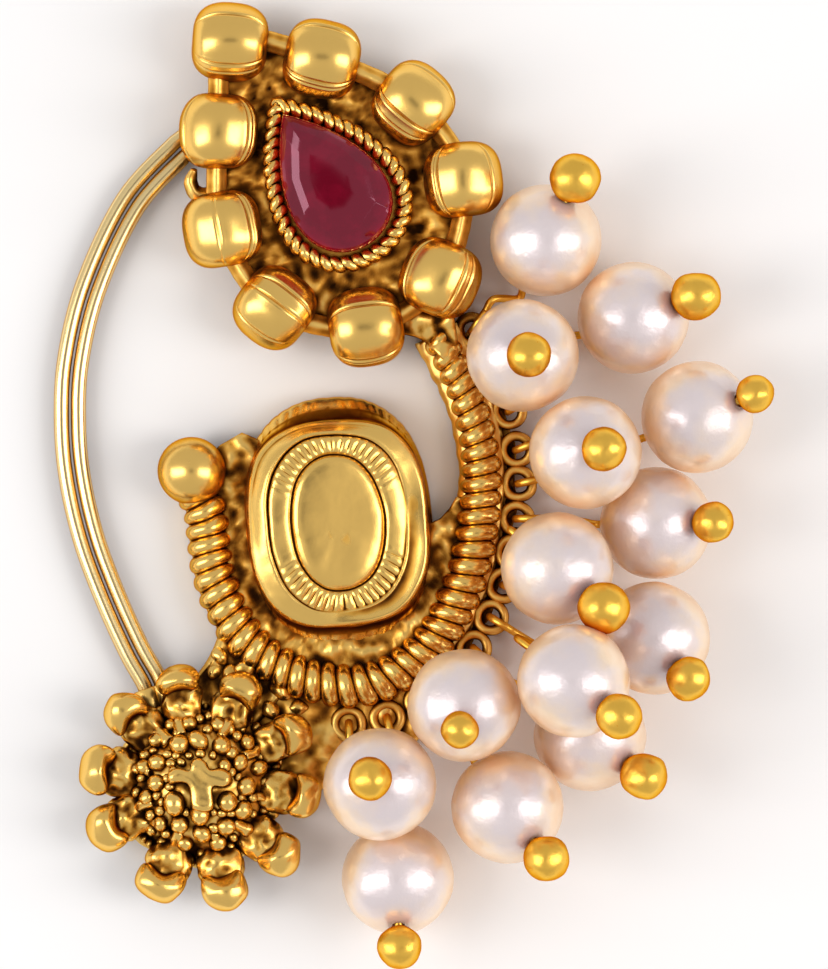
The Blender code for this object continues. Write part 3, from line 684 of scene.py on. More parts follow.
def pear_line(grow, count, height):
    """Closed line around the stone, grow outside its girdle."""
    turn = Matrix.Rotation(math.radians(STONE_TURN), 4, "Z")
    centre = Vector((*STONE_CENTRE, height))
    line = []
    for i in range(8 * count):
        x, y = pear_point(2.0 * math.pi * i / (8 * count))
        line.append(Vector((x * (STONE_WIDTH / 2.0 + grow), y * (STONE_LENGTH / 2.0 + grow), 0.0)))
    return [centre + turn @ point for point in even_line(line, count, closed=True)]


def rope_radius(share, turn):
    """Radius of the bezel's rope: slanted grains, like a twisted wire."""
    place = share * ROPE_GRAINS + 0.30 * math.cos(turn) + 0.12 * math.sin(turn)
    across = 2.0 * (place - math.floor(place)) - 1.0
    ridge = math.sqrt(max(0.0, 1.0 - across * across))
    size = 1.0 + 0.07 * noise.noise(Vector((share * 37.0, 0.0, 2.0)))
    return ROPE_RADIUS * size * (0.52 + 0.52 * ridge)


def make_bezel(gold):
    bm = bmesh.new()
    height = CLUSTER_TOP + SEAT_HEIGHT + ROPE_RADIUS / 2.0
    line = pear_line(SEAT_CLEARANCE + ROPE_RADIUS, ROPE_GRAINS * 10, height)
    tube_into(bm, line, rope_radius, 22, closed=True)
    for vert in bm.verts:
        vert.co += wobble(vert.co, 0.45, 0.05)
    finish_piece("rope_bezel", bm, gold, ["cast_body"], passes=8, reach=0.035)
    bm = bmesh.new()
    slab_into(bm, pear_line(SEAT_CLEARANCE + ROPE_RADIUS * 1.6, 96, 0.0), CLUSTER_TOP - BURIED,
              CLUSTER_TOP + SEAT_HEIGHT, 0.06)
    finish_piece("stone_seat", bm, gold, ["cast_body"])


def make_neck(gold):
    """Solder joint from the crescent's upper end to the cluster, lumpy on top."""
    start = crescent_line()[0]
    places = bead_places()
    line = crescent_line(12)
    outline = [places[4], places[4].lerp(places[5], 0.5), places[5].lerp(start, 0.35),
               start - side_of(line, 0) * COIL_RADIUS * 0.7,
               line[8], start + side_of(line, 0) * COIL_RADIUS]
    bm = bmesh.new()
    slab_into(bm, smooth_line(outline, 5, closed=True), BACK_RELIEF, CLUSTER_TOP - BACK_RELIEF, 0.15)
    roughened(bm, 0.20, 0.40, 0.3)
    finish_piece("cluster_neck", bm, gold, ["cast_body"])


def make_tab(gold):
    """Broken curl of metal at the cluster's left edge, between two beads."""
    points = [Vector(place) for place in ((-5.35, 14.25, 1.45), (-5.85, 14.22, 1.50), (-6.28, 14.42, 1.55),
                                          (-6.42, 14.85, 1.65), (-6.26, 15.35, 1.80))]
    bm = bmesh.new()
    tube_into(bm, smooth_line(points, 6), lambda share, turn: 0.40 - 0.26 * share * share, 18)
    for vert in bm.verts:
        vert.co += wobble(vert.co, 0.5, 0.10)
    finish_piece("cluster_tab", bm, gold, ["cast_body"])


# Stone

StoneLevel = namedtuple("StoneLevel", "height size facet")
STONE_LEVELS = (
    StoneLevel(0.00, 0.930, 0.0), StoneLevel(0.18, 0.985, 0.0), StoneLevel(0.34, 1.000, 0.0),
    StoneLevel(0.48, 0.995, 0.0), StoneLevel(0.60, 0.978, 0.0), StoneLevel(0.68, 0.950, 0.0),
    StoneLevel(0.74, 0.915, 0.6), StoneLevel(0.80, 0.870, 1.0), StoneLevel(0.90, 0.750, 1.0),
    StoneLevel(0.965, 0.590, 1.0), StoneLevel(1.00, 0.360, 1.0),
)
STONE_FACETS = 10
STONE_SIDES = STONE_FACETS * 8


def stone_section(level):
    """Outline of the stone at one level: round below, straight-sided at its facets."""
    turn = Matrix.Rotation(math.radians(STONE_TURN), 4, "Z")
    base = CLUSTER_TOP + SEAT_HEIGHT + SEAT_CLEARANCE
    centre = Vector((*STONE_CENTRE, base + level.height * STONE_HEIGHT))
    points = []
    for i in range(STONE_SIDES):
        corner = STONE_FACETS * i / STONE_SIDES
        low = math.floor(corner)
        exact = Vector(pear_point(2.0 * math.pi * corner / STONE_FACETS))
        first = Vector(pear_point(2.0 * math.pi * low / STONE_FACETS))
        second = Vector(pear_point(2.0 * math.pi * (low + 1) / STONE_FACETS))
        place = exact.lerp(first.lerp(second, corner - low), level.facet)
        points.append(centre + turn @ Vector((place.x * level.size * STONE_WIDTH / 2.0,
                                              place.y * level.size * STONE_LENGTH / 2.0, 0.0)))
    return points


def make_stone(ruby):
    bm = bmesh.new()
    loft_into(bm, [stone_section(level) for level in STONE_LEVELS])
    piece = finish_piece("pear_stone", bm, ruby, ["teardrop_stone"])
    bevel = piece.modifiers.new("edges", "BEVEL")
    bevel.width = 0.00004
    bevel.segments = 2
    bevel.limit_method = "ANGLE"
    bevel.angle_limit = math.radians(12.0)
    bevel.harden_normals = True


# Flower

# Each petal's lobe, seen from the flower's centre, with its half length and half width
Petal = namedtuple("Petal", "angle reach length width")
PETALS = (
    Petal(28, 4.60, 0.82, 0.96), Petal(66, 4.36, 0.86, 0.98), Petal(102, 4.50, 0.70, 0.98),
    Petal(136, 4.44, 0.88, 0.98), Petal(173, 4.42, 0.80, 1.12), Petal(206, 4.44, 0.92, 1.06),
    Petal(249, 4.66, 0.90, 1.10), Petal(284, 4.74, 0.96, 1.02), Petal(318, 4.68, 0.96, 1.00),
    Petal(353, 4.54, 0.76, 1.00),
)
PETAL_HEIGHT = 0.82


def petal_into(bm, number, petal):
    """Curled petal: a round outer lobe, hollowed towards the flower, on a wide lumpy neck."""
    chance = random.Random(number + 40)
    angle = petal.angle + chance.uniform(-7.0, 7.0)
    middle = Vector((*FLOWER_CENTRE, 0.0))
    lobe = middle + polar(petal.angle, petal.reach, SLEEVE_HEIGHT + 0.90)
    place = Matrix.Translation(lobe) @ Matrix.Rotation(math.radians(angle), 4, "Z")
    horn = chance.uniform(0.75, 1.25)
    for vert in bmesh.ops.create_uvsphere(bm, u_segments=48, v_segments=32, radius=1.0)["verts"]:
        along, across, up = vert.co
        if along < 0.0:
            along *= 0.52 + horn * across * across
            up -= 0.10 * (1.0 - across * across) * min(1.0, -3.0 * along)
        vert.co = place @ Vector((petal.length * along, petal.width * across, PETAL_HEIGHT * up))
        vert.co += wobble(vert.co, 1.0, 0.14, number)
    neck = middle + polar(petal.angle, petal.reach - 0.98, SLEEVE_HEIGHT + 0.42)
    place = Matrix.Translation(neck) @ Matrix.Rotation(math.radians(angle), 4, "Z")
    for vert in bmesh.ops.create_uvsphere(bm, u_segments=40, v_segments=24, radius=1.0)["verts"]:
        along, across, up = vert.co
        vert.co = place @ Vector((1.10 * along, 0.98 * petal.width * across, 0.62 * up))
        vert.co += wobble(vert.co, 0.9, 0.17, number + 20.0) + wobble(vert.co, 0.35, 0.07, number)


def flower_dome(reach):
    share = reach / FLOWER_RADIUS
    for (near, high), (far, low) in zip(DOME, DOME[1:]):
        if share <= far:
            return FLOWER_HEIGHT * (high + (low - high) * (share - near) / (far - near))
    return 0.0


DOME = ((0.0, 0.93), (0.20, 0.92), (0.46, 0.82), (0.72, 0.58), (0.86, 0.38), (1.0, 0.29), (1.02, 0.0))
# The flower's grains, seen from its centre
Grain = namedtuple("Grain", "angle reach size")
GRAINS = (
    Grain(117, 1.86, 0.47), Grain(91, 1.83, 0.50), Grain(59, 1.88, 0.44), Grain(26, 1.96, 0.42),
    Grain(14, 2.63, 0.42), Grain(-4, 2.03, 0.46), Grain(-33, 1.45, 0.46), Grain(-89, 1.35, 0.50),
    Grain(-141, 1.40, 0.56), Grain(180, 1.85, 0.42), Grain(154, 2.00, 0.42), Grain(164, 2.51, 0.38),
    Grain(135, 2.63, 0.40), Grain(-165, 2.36, 0.38), Grain(-134, 2.41, 0.38), Grain(-115, 1.97, 0.42),
    Grain(-87, 2.18, 0.46), Grain(-58, 2.20, 0.46), Grain(-45, 2.81, 0.40), Grain(-32, 2.19, 0.46),
    Grain(-104, 2.69, 0.38), Grain(-72, 3.45, 0.42), Grain(-73, 2.70, 0.40), Grain(100, 2.60, 0.36),
    Grain(72, 2.62, 0.38), Grain(40, 2.70, 0.40), Grain(-15, 2.90, 0.36), Grain(-150, 3.00, 0.30),
    Grain(178, 3.05, 0.28), Grain(-122, 3.05, 0.30), Grain(-88, 3.10, 0.30), Grain(-30, 3.20, 0.30),
    Grain(0, 3.25, 0.28), Grain(28, 3.30, 0.28), Grain(110, 3.20, 0.28), Grain(148, 3.25, 0.28),
)


def small_grains():
    """Smaller grains that fill the room between the measured ones."""
    chance = random.Random(5)
    found = []
    for _ in range(900):
        grain = Grain(chance.uniform(0.0, 360.0), chance.uniform(1.15, 3.55), chance.uniform(0.20, 0.32))
        place = polar(grain.angle, grain.reach)
        taken = [(polar(other.angle, other.reach) - place).length < 0.72 * (other.size + grain.size)
                 for other in GRAINS + tuple(found)]
        if not any(taken):
            found.append(grain)
    return found


def make_flower_dish(gold):
    bm = bmesh.new()
    profile = [(share * FLOWER_RADIUS, height * FLOWER_HEIGHT) for share, height in DOME[:-1]]
    profile += [(FLOWER_RADIUS * 0.99, 0.08), (FLOWER_RADIUS * 0.97, 0.0), (0.0, 0.0)]
    line = [Vector((distance, 0.0, height)) for distance, height in profile[:6]]
    fine = [(point.x, point.z) for point in smooth_line(line, 5)] + profile[6:]
    spin_into(bm, fine, 96, Matrix.Translation((*FLOWER_CENTRE, 0.0)))
    for vert in bm.verts:
        if vert.co.z > 0.3:
            vert.co += wobble(vert.co, 0.8, 0.16) + wobble(vert.co, 0.3, 0.05, 5.0)
    finish_piece("flower_dish", bm, gold, ["cast_body"], passes=4, reach=0.05)


def petal_inner_darkness(place):
    """The petals' inner halves, towards the flower's centre, are made darker."""
    reach = (Vector((place.x, place.y)) - Vector(FLOWER_CENTRE)).length
    return 0.13 * min(1.0, max(0.0, (4.25 - reach) / 0.5))


def make_petals(gold):
    bm = bmesh.new()
    for number, petal in enumerate(PETALS):
        petal_into(bm, number, petal)
    finish_piece("flower_petals", bm, gold, ["cast_body"], passes=8, reach=0.08,
                 darkness_offset=petal_inner_darkness)


def make_grains(gold):
    bm = bmesh.new()
    centre = Vector((*FLOWER_CENTRE, 0.0))
    for number, grain in enumerate(GRAINS + tuple(small_grains())):
        chance = random.Random(number)
        height = flower_dome(grain.reach) + 0.30 * grain.size
        sides = 24 if number < len(GRAINS) else 16
        ball_into(bm, centre + polar(grain.angle, grain.reach, height), grain.size, sides,
                  (1.0, chance.uniform(0.80, 1.0), 1.0), grain.angle + 60.0 * chance.random(), dents=0.08)
    finish_piece("flower_grains", bm, gold, ["cast_body"], passes=5, reach=0.12)


def make_stems(gold):
    """Short curled stems from the grains to the petals."""
    bm = bmesh.new()
    centre = Vector((*FLOWER_CENTRE, 0.0))
    for number, petal in enumerate(PETALS):
        chance = random.Random(number + 300)
        sway = chance.uniform(-10.0, 10.0)
        points = [centre + polar(petal.angle + sway * share, reach, flower_dome(min(reach, FLOWER_RADIUS)) + lift)
                  for share, reach, lift in ((1.0, 2.2, 0.05), (0.7, 2.8, 0.22), (0.3, 3.4, 0.26),
                                             (0.0, 4.0, 0.42))]
        thick = chance.uniform(0.20, 0.30)
        tube_into(bm, smooth_line(points, 5), thick, 14)
    for vert in bm.verts:
        vert.co += wobble(vert.co, 0.5, 0.10)
    finish_piece("flower_stems", bm, gold, ["cast_body"], passes=4, reach=0.06)


# Outline of the flower's four-lobed ornament
CROSS = ((-1.43, 0.28), (-1.22, 0.60), (-0.78, 0.64), (-0.40, 0.56), (-0.34, 0.95), (0.02, 1.12),
         (0.36, 0.92), (0.48, 0.58), (0.95, 0.62), (1.38, 0.42), (1.40, 0.02), (1.00, -0.16),
         (0.62, -0.12), (0.56, -0.60), (0.62, -1.02), (0.20, -1.24), (-0.30, -1.10), (-0.36, -0.60),
         (-0.44, -0.10), (-0.86, 0.02), (-1.24, 0.00))


def make_cross(gold):
    bm = bmesh.new()
    middle = Vector((*FLOWER_CENTRE, 0.0))
    line = [middle + Vector((x, y, 0.0)) for x, y in CROSS]
    slab_into(bm, smooth_line(line, 3, closed=True), FLOWER_HEIGHT - 0.5, FLOWER_HEIGHT + 0.24, 0.14)
    bmesh.ops.triangulate(bm, faces=bm.faces[:])
    for _ in range(5):
        long_edges = [edge for edge in bm.edges if edge.calc_length() > 0.14]
        bmesh.ops.subdivide_edges(bm, edges=long_edges, cuts=1)
        bmesh.ops.triangulate(bm, faces=[face for face in bm.faces if len(face.verts) > 3])
    for _ in range(10):
        bmesh.ops.smooth_vert(bm, verts=bm.verts[:], factor=0.5, use_axis_x=True, use_axis_y=True,
                              use_axis_z=True)
    for vert in bm.verts:
        vert.co += wobble(vert.co, 0.7, 0.08)
    finish_piece("flower_cross", bm, gold, ["cast_body"], passes=8, reach=0.12)


# Lumps of solder on the web between the flower and the tube
Lump = namedtuple("Lump", "x y height size")
LUMPS = (
    Lump(-4.05, -6.40, 1.55, 0.42), Lump(-3.25, -5.95, 1.60, 0.36), Lump(-4.70, -6.60, 1.45, 0.36),
    Lump(-5.15, -5.85, 1.40, 0.40), Lump(-2.50, -7.35, 1.35, 0.45), Lump(-1.75, -8.10, 1.00, 0.42),
    Lump(-5.40, -6.50, 1.30, 0.34), Lump(-3.60, -7.30, 1.45, 0.34), Lump(-2.95, -8.20, 1.30, 0.40),
    Lump(-4.40, -7.45, 1.40, 0.38),
)


def make_flower_web(gold, bright):
    line = even_line(crescent_line(12), 30)
    toward = Vector((*FLOWER_CENTRE, 0.0))
    edge = [Vector((x, y, 0.0)) for x, y in ((-5.15, -4.7), (-5.45, -5.5), (-5.80, -6.15),
                                             (-6.25, -6.75), (-6.9, -7.4))]
    outline = [line[20], line[22], line[24]] + edge + [toward.lerp(line[25], 0.35), toward.lerp(line[20], 0.30)]
    bm = bmesh.new()
    slab_into(bm, smooth_line(outline, 5, closed=True), 2.0 * BACK_RELIEF, 1.30, 0.28)
    roughened(bm, 0.18, 0.24, 0.8)
    finish_piece("flower_web", bm, gold, ["cast_body"])
    bm = bmesh.new()
    for number, lump in enumerate(LUMPS):
        ball_into(bm, Vector((lump.x, lump.y, lump.height - 0.1)), lump.size, 20,
                  (1.15, 0.9, 0.8), 37.0 * number, dents=0.18)
    finish_piece("web_lumps", bm, bright, ["cast_body"], passes=5, reach=0.12)


# Nose wire

def wire_line(steps=10):
    return smooth_line([polar(bend.angle, bend.share * WIRE_ARC_RADIUS, WIRE_HEIGHT)
                        for bend in NOSE_WIRE], steps)


def make_nose_wire(gold):
    line = wire_line()
    spread = WIRE_RADIUS + WIRE_SLIT / 2.0
    eye = PEG_RADIUS + WIRE_CLEARANCE + WIRE_RADIUS
    peg = bead_places()[WIRE_BEAD]
    peg.z = WIRE_HEIGHT
    outer = offset_line(line, -spread)[::-1]
    inner = offset_line(line, spread)
    arrival = peg - line[0]
    heading = math.degrees(math.atan2(arrival.y, arrival.x))
    bend = [peg + polar(heading + angle, eye) for angle in EYE_ANGLES]
    bm = bmesh.new()
    tube_into(bm, outer + bend + inner, WIRE_RADIUS, 24)
    finish_piece("hairpin_wire", bm, gold, ["nose_wire"], reach=0.3)


def collar_into(bm, start, end, inner, outer):
    """Short pipe round one leg of the wire."""
    ahead = (end - start).normalized()
    side = Vector((-ahead.y, ahead.x, 0.0))
    sections = []
    for place, reach in ((start, inner), (start, outer - 0.05), (start + ahead * 0.06, outer),
                         (end - ahead * 0.06, outer), (end, outer - 0.05), (end, inner)):
        sections.append([place + side * (reach * math.cos(turn)) + Vector((0.0, 0.0, reach * math.sin(turn)))
                         for turn in (2.0 * math.pi * k / 28 for k in range(28))])
    loft_into(bm, sections, closed=True)


def make_wire_holders(gold):
    """Peg behind the cluster and collars behind the flower, where the wire's legs end."""
    place = bead_places()[WIRE_BEAD]
    bm = bmesh.new()
    tube_into(bm, [Vector((place.x, place.y, height)) for height in
                   (WIRE_HEIGHT - WIRE_RADIUS, WIRE_HEIGHT, CLUSTER_BACK + BURIED)], PEG_RADIUS, 24)
    line = wire_line(3)
    ahead = (line[-1] - line[-3]).normalized()
    side = Vector((-ahead.y, ahead.x, 0.0))
    spread = WIRE_RADIUS + WIRE_SLIT / 2.0
    tip = line[-1] + ahead * BURIED
    for sign in (-1.0, 1.0):
        across = side * (sign * spread)
        collar_into(bm, tip + across - ahead * (SLEEVE_LENGTH - 0.5), tip + across,
                    WIRE_RADIUS + WIRE_CLEARANCE * 0.6, WIRE_HEIGHT - 0.02)
    finish_piece("wire_holders", bm, gold, ["cast_body"])


# Pearls and pins

def pearl_centre(pearl):
    diameter = 2.0 * PEARL_RADIUS
    return polar(pearl.angle, RIM_RADIUS + pearl.share * diameter, pearl.lift * diameter)


def pin_direction(pearl):
    rise = math.radians(pearl.rise)
    flat = polar(pearl.azimuth, math.cos(rise))
    return Vector((flat.x, flat.y, math.sin(rise)))


def make_pearl(number, pearl, nacre):
    """Drilled pearl, slightly out of round, with a rounded lip at each end of its hole."""
    start = math.asin((DRILL_RADIUS + 0.06) / PEARL_RADIUS)
    profile = [(DRILL_RADIUS, -PEARL_RADIUS * 0.9)]
    profile.append((DRILL_RADIUS, -PEARL_RADIUS * math.cos(start) + 0.05))
    steps = 44
    for i in range(steps + 1):
        turn = start + (math.pi - 2.0 * start) * i / steps
        profile.append((PEARL_RADIUS * math.sin(turn), -PEARL_RADIUS * math.cos(turn)))
    profile.append((DRILL_RADIUS, PEARL_RADIUS * math.cos(start) - 0.05))
    profile.append((DRILL_RADIUS, PEARL_RADIUS * 0.9))
    profile.append((DRILL_RADIUS, -PEARL_RADIUS * 0.9))
    aim = pin_direction(pearl)
    place = Matrix.Translation(pearl_centre(pearl)) @ aim.to_track_quat("Z", "Y").to_matrix().to_4x4()
    bm = bmesh.new()
    spin_into(bm, profile, 64, place)
    centre = pearl_centre(pearl)
    for vert in bm.verts:
        out = (vert.co - centre).normalized()
        if (vert.co - centre).length > 0.95 * PEARL_RADIUS:
            change = noise.noise(out * 1.6 + Vector((3.0 * number, 0.0, 0.0)))
            change += 0.3 * noise.noise(out * 5.0 + Vector((0.0, number, 0.0)))
            vert.co += out * (0.045 * change - 0.02)
    finish_piece(f"round_pearl_{number:02d}", bm, nacre, [f"pearl_{number:02d}"],
                 passes=3, reach=0.3)


def eyelet_middle(pearl):
    reach = crescent_reach(pearl.eyelet) + EYELET_DISTANCE
    return polar(pearl.eyelet, reach, EYELET_HEIGHT)


def pin_route(pearl):
    """Middle line of a pin, from inside its ball head to the end of its loop."""
    centre = pearl_centre(pearl)
    aim = pin_direction(pearl)
    head = centre + aim * (PEARL_RADIUS + SEAT_CLEARANCE + PIN_BALL_RADIUS)
    tail = centre - aim * (PEARL_RADIUS + 2.0 * PIN_RADIUS)
    outward = polar(pearl.eyelet, 1.0)
    middle = eyelet_middle(pearl) + outward * EYELET_RADIUS
    loop = []
    for angle in range(50, 331, 14):
        turn = math.radians(angle)
        loop.append(middle + outward * PIN_LOOP_RADIUS * math.cos(turn)
                    + Vector((0.0, 0.0, PIN_LOOP_RADIUS * math.sin(turn))))
    reach = (tail - loop[0]).length
    bend = smooth_line([tail, tail - aim * reach * 0.30, loop[0] + outward * reach * 0.34,
                        loop[0]], 14)
    return [head] + bend + loop[1:]


def make_pin(number, pearl, gold):
    route = pin_route(pearl)
    bm = bmesh.new()
    tube_into(bm, route, PIN_RADIUS, 14)
    size = PIN_BALL_RADIUS * pearl.head
    aim = pin_direction(pearl)
    centre = pearl_centre(pearl) + aim * (PEARL_RADIUS + SEAT_CLEARANCE * 0.3 + size * 0.96)
    place = Matrix.Translation(centre) @ aim.to_track_quat("Z", "Y").to_matrix().to_4x4()
    head = bmesh.ops.create_uvsphere(bm, u_segments=40, v_segments=26, radius=size, matrix=place)
    chance = random.Random(number)
    stretch = chance.uniform(-0.04, 0.08)
    for vert in head["verts"]:
        away = (vert.co - centre).dot(aim)
        vert.co += aim * away * stretch
        vert.co += wobble(vert.co, 1.0, 0.07, number) + wobble(vert.co, 0.35, 0.02, number)
    finish_piece(f"ball_pin_{number:02d}", bm, gold, [f"pearl_pin_{number:02d}"],
                 passes=5, reach=0.2)


def make_eyelets(gold):
    bm = bmesh.new()
    for pearl in PEARLS:
        centre = eyelet_middle(pearl)
        points = [centre + polar(360.0 * i / 32, EYELET_RADIUS) for i in range(32)]
        tube_into(bm, points, EYELET_WIRE, 10, closed=True)
    for vert in bm.verts:
        vert.co += wobble(vert.co, 0.6, 0.04)
    finish_piece("rim_eyelets", bm, gold, ["cast_body"])


# Materials

def new_material(name):
    material = bpy.data.materials.new(name)
    material.use_nodes = True
    tree = material.node_tree
    return material, tree, tree.nodes["Principled BSDF"]


def add_node(tree, kind, **values):
    node = tree.nodes.new(kind)
    for name, value in values.items():
        if hasattr(node, name):
            setattr(node, name, value)
        else:
            node.inputs[name.replace("_", " ")].default_value = value
    return node


def noise_node(tree, coordinates, scale, detail=3.0, roughness=0.55):
    node = add_node(tree, "ShaderNodeTexNoise")
    node.inputs["Scale"].default_value = scale
    node.inputs["Detail"].default_value = detail
    node.inputs["Roughness"].default_value = roughness
    tree.links.new(coordinates, node.inputs["Vector"])
    return node


def maths(tree, operation, first, second, clamp=False):
    node = tree.nodes.new("ShaderNodeMath")
    node.operation = operation
    node.use_clamp = clamp
    for socket, value in zip(node.inputs, (first, second)):
        if isinstance(value, (int, float)):
            socket.default_value = value
        else:
            tree.links.new(value, socket)
    return node.outputs[0]


def ramp(tree, factor, stops):
    node = tree.nodes.new("ShaderNodeValToRGB")
    elements = node.color_ramp.elements
    elements[0].position, elements[0].color = stops[0][0], (*stops[0][1], 1.0)
    elements[1].position, elements[1].color = stops[-1][0], (*stops[-1][1], 1.0)
    for position, colour in stops[1:-1]:
        element = elements.new(position)
        element.color = (*colour, 1.0)
    tree.links.new(factor, node.inputs["Fac"])
    return node.outputs["Color"]


def bumps(tree, height, strength, distance):
    node = tree.nodes.new("ShaderNodeBump")
    node.inputs["Strength"].default_value = strength
    node.inputs["Distance"].default_value = distance
    tree.links.new(height, node.inputs["Height"])
    return node.outputs["Normal"]


def antique_gold(name, patina_and_painted_shade, stops, polish=0.2, pitting=0.5, tarnish_and_painted_shade=0.0):
    """Plated casting: bright on the crests, brown and then black in the hollows, with painted shade where pieces
    hide each other and on steep sides.
    """
    material, tree, shader = new_material(name)
    place = tree.nodes.new("ShaderNodeTexCoord").outputs["Object"]
    worn = tree.nodes.new("ShaderNodeAttribute")
    worn.attribute_name = "hollow"
    steep = tree.nodes.new("ShaderNodeAttribute")
    steep.attribute_name = "steep"
    # Painted shade: ambient occlusion darkens the colour where pieces and folds hide each other from the light.
    shade = tree.nodes.new("ShaderNodeAmbientOcclusion")
    shade.samples = 6
    shade.inputs["Distance"].default_value = 0.0012
    painted_occlusion_shade = maths(tree, "SUBTRACT", 1.0, shade.outputs["AO"])
    cloud = noise_node(tree, place, 900.0, 4.0).outputs["Fac"]
    specks = noise_node(tree, place, 5200.0, 2.0).outputs["Fac"]
    hollow = maths(tree, "SUBTRACT", worn.outputs["Fac"], 0.52)
    dark = maths(tree, "MULTIPLY", hollow, 2.8 * patina_and_painted_shade)
    dark = maths(tree, "ADD", dark, maths(tree, "MULTIPLY", painted_occlusion_shade, 1.15 * patina_and_painted_shade))
    # Painted shade: steep sides are darkened, standing in for the dark surroundings they reflect at grazing
    # angles.
    sides = maths(tree, "MULTIPLY", maths(tree, "SUBTRACT", steep.outputs["Fac"], 0.14), 1.7 * patina_and_painted_shade)
    dark = maths(tree, "ADD", dark, maths(tree, "MAXIMUM", sides, 0.0))
    dark = maths(tree, "ADD", dark, maths(tree, "MULTIPLY", maths(tree, "SUBTRACT", cloud, 0.5), 0.45))
    pits = maths(tree, "GREATER_THAN", specks, 0.74)
    dark = maths(tree, "ADD", dark, maths(tree, "MULTIPLY", pits, 0.25 * pitting))
    # An offset for the whole material: tarnishing on some pieces, painted shade on the recessed ones.
    dark = maths(tree, "ADD", dark, tarnish_and_painted_shade, clamp=True)
    tree.links.new(ramp(tree, dark, stops), shader.inputs["Base Color"])
    shader.inputs["Metallic"].default_value = 1.0
    shader.inputs["Specular Tint"].default_value = (0.62, 0.30, 0.10, 1.0)
    rough = maths(tree, "ADD", maths(tree, "MULTIPLY", dark, 0.36), polish)
    rough = maths(tree, "ADD", rough, maths(tree, "MULTIPLY", specks, 0.08), clamp=True)
    tree.links.new(rough, shader.inputs["Roughness"])
    fine = noise_node(tree, place, 2600.0, 5.0, 0.6).outputs["Fac"]
    tree.links.new(bumps(tree, fine, 0.35 * pitting, 0.00004), shader.inputs["Normal"])
    return material


GOLD_STOPS = ((0.0, (0.98, 0.63, 0.17)), (0.22, (0.90, 0.49, 0.085)), (0.48, (0.46, 0.185, 0.020)),
              (0.75, (0.15, 0.052, 0.007)), (1.0, (0.030, 0.011, 0.003)))
WIRE_STOPS = ((0.0, (1.0, 0.76, 0.36)), (0.4, (0.78, 0.46, 0.11)), (1.0, (0.12, 0.045, 0.008)))
PIN_STOPS = ((0.0, (0.97, 0.58, 0.09)), (0.3, (0.88, 0.38, 0.025)), (0.6, (0.60, 0.14, 0.008)),
             (1.0, (0.22, 0.05, 0.006)))


def pearl_nacre():
    """Satin pearl: pinkish white above, with painted cream and peach reflection towards its rim, and fine pits.
    """
    material, tree, shader = new_material("pearl nacre")
    place = tree.nodes.new("ShaderNodeTexCoord").outputs["Object"]
    steep = tree.nodes.new("ShaderNodeAttribute")
    steep.attribute_name = "steep"
    cloud = noise_node(tree, place, 420.0, 3.0).outputs["Fac"]
    # Painted reflection: steep sides turn cream and peach, as if lit by light bounced off the gold and the floor.
    warm = maths(tree, "ADD", steep.outputs["Fac"],
                 maths(tree, "MULTIPLY", maths(tree, "SUBTRACT", cloud, 0.5), 0.7), clamp=True)
    colour = ramp(tree, warm, ((0.02, (0.80, 0.71, 0.72)), (0.13, (0.86, 0.74, 0.69)),
                               (0.27, (0.98, 0.77, 0.56)), (0.52, (0.95, 0.61, 0.33))))
    tree.links.new(colour, shader.inputs["Base Color"])
    shader.inputs["Metallic"].default_value = 0.40
    shader.inputs["Roughness"].default_value = 0.34
    shader.inputs["Coat Weight"].default_value = 0.6
    shader.inputs["Coat Roughness"].default_value = 0.20
    shader.inputs["Sheen Weight"].default_value = 0.25
    shader.inputs["Sheen Roughness"].default_value = 0.35
    shader.inputs["Sheen Tint"].default_value = (1.0, 0.75, 0.52, 1.0)
    fine = noise_node(tree, place, 2200.0, 4.0, 0.6).outputs["Fac"]
    tree.links.new(bumps(tree, fine, 0.45, 0.00006), shader.inputs["Normal"])
    return material


def ruby_glass():
    """Deep crimson stone, warmer red towards its rim and in random patches."""
    material, tree, shader = new_material("ruby glass")
    place = tree.nodes.new("ShaderNodeTexCoord").outputs["Object"]
    steep = tree.nodes.new("ShaderNodeAttribute")
    steep.attribute_name = "steep"
    cloud = noise_node(tree, place, 900.0, 4.0).outputs["Fac"]
    warm = maths(tree, "ADD", maths(tree, "MULTIPLY", steep.outputs["Fac"], 1.6),
                 maths(tree, "MULTIPLY", maths(tree, "SUBTRACT", cloud, 0.5), 1.2), clamp=True)
    colour = ramp(tree, warm, ((0.0, (0.135, 0.001, 0.010)), (0.30, (0.20, 0.002, 0.016)),
                               (0.60, (0.38, 0.006, 0.014)), (1.0, (0.50, 0.022, 0.008))))
    tree.links.new(colour, shader.inputs["Base Color"])
    shader.inputs["Roughness"].default_value = 0.10
    shader.inputs["IOR"].default_value = 1.60
    shader.inputs["Specular Tint"].default_value = (1.0, 0.40, 0.60, 1.0)
    shader.inputs["Coat Weight"].default_value = 0.7
    shader.inputs["Coat Roughness"].default_value = 0.06
    shader.inputs["Coat IOR"].default_value = 1.35
    return material


# Studio

def make_floor():
    bm = bmesh.new()
    bmesh.ops.create_grid(bm, x_segments=1, y_segments=1, size=2.0)
    mesh = bpy.data.meshes.new("floor")
    bm.to_mesh(mesh)
    bm.free()
    material, tree, shader = new_material("pale floor")
    shader.inputs["Base Color"].default_value = (0.95, 0.95, 0.95, 1.0)
    shader.inputs["Roughness"].default_value = 0.9
    mesh.materials.append(material)
    floor = bpy.data.objects.new("floor", mesh)
    floor.location.z = -0.0002
    bpy.context.scene.collection.objects.link(floor)


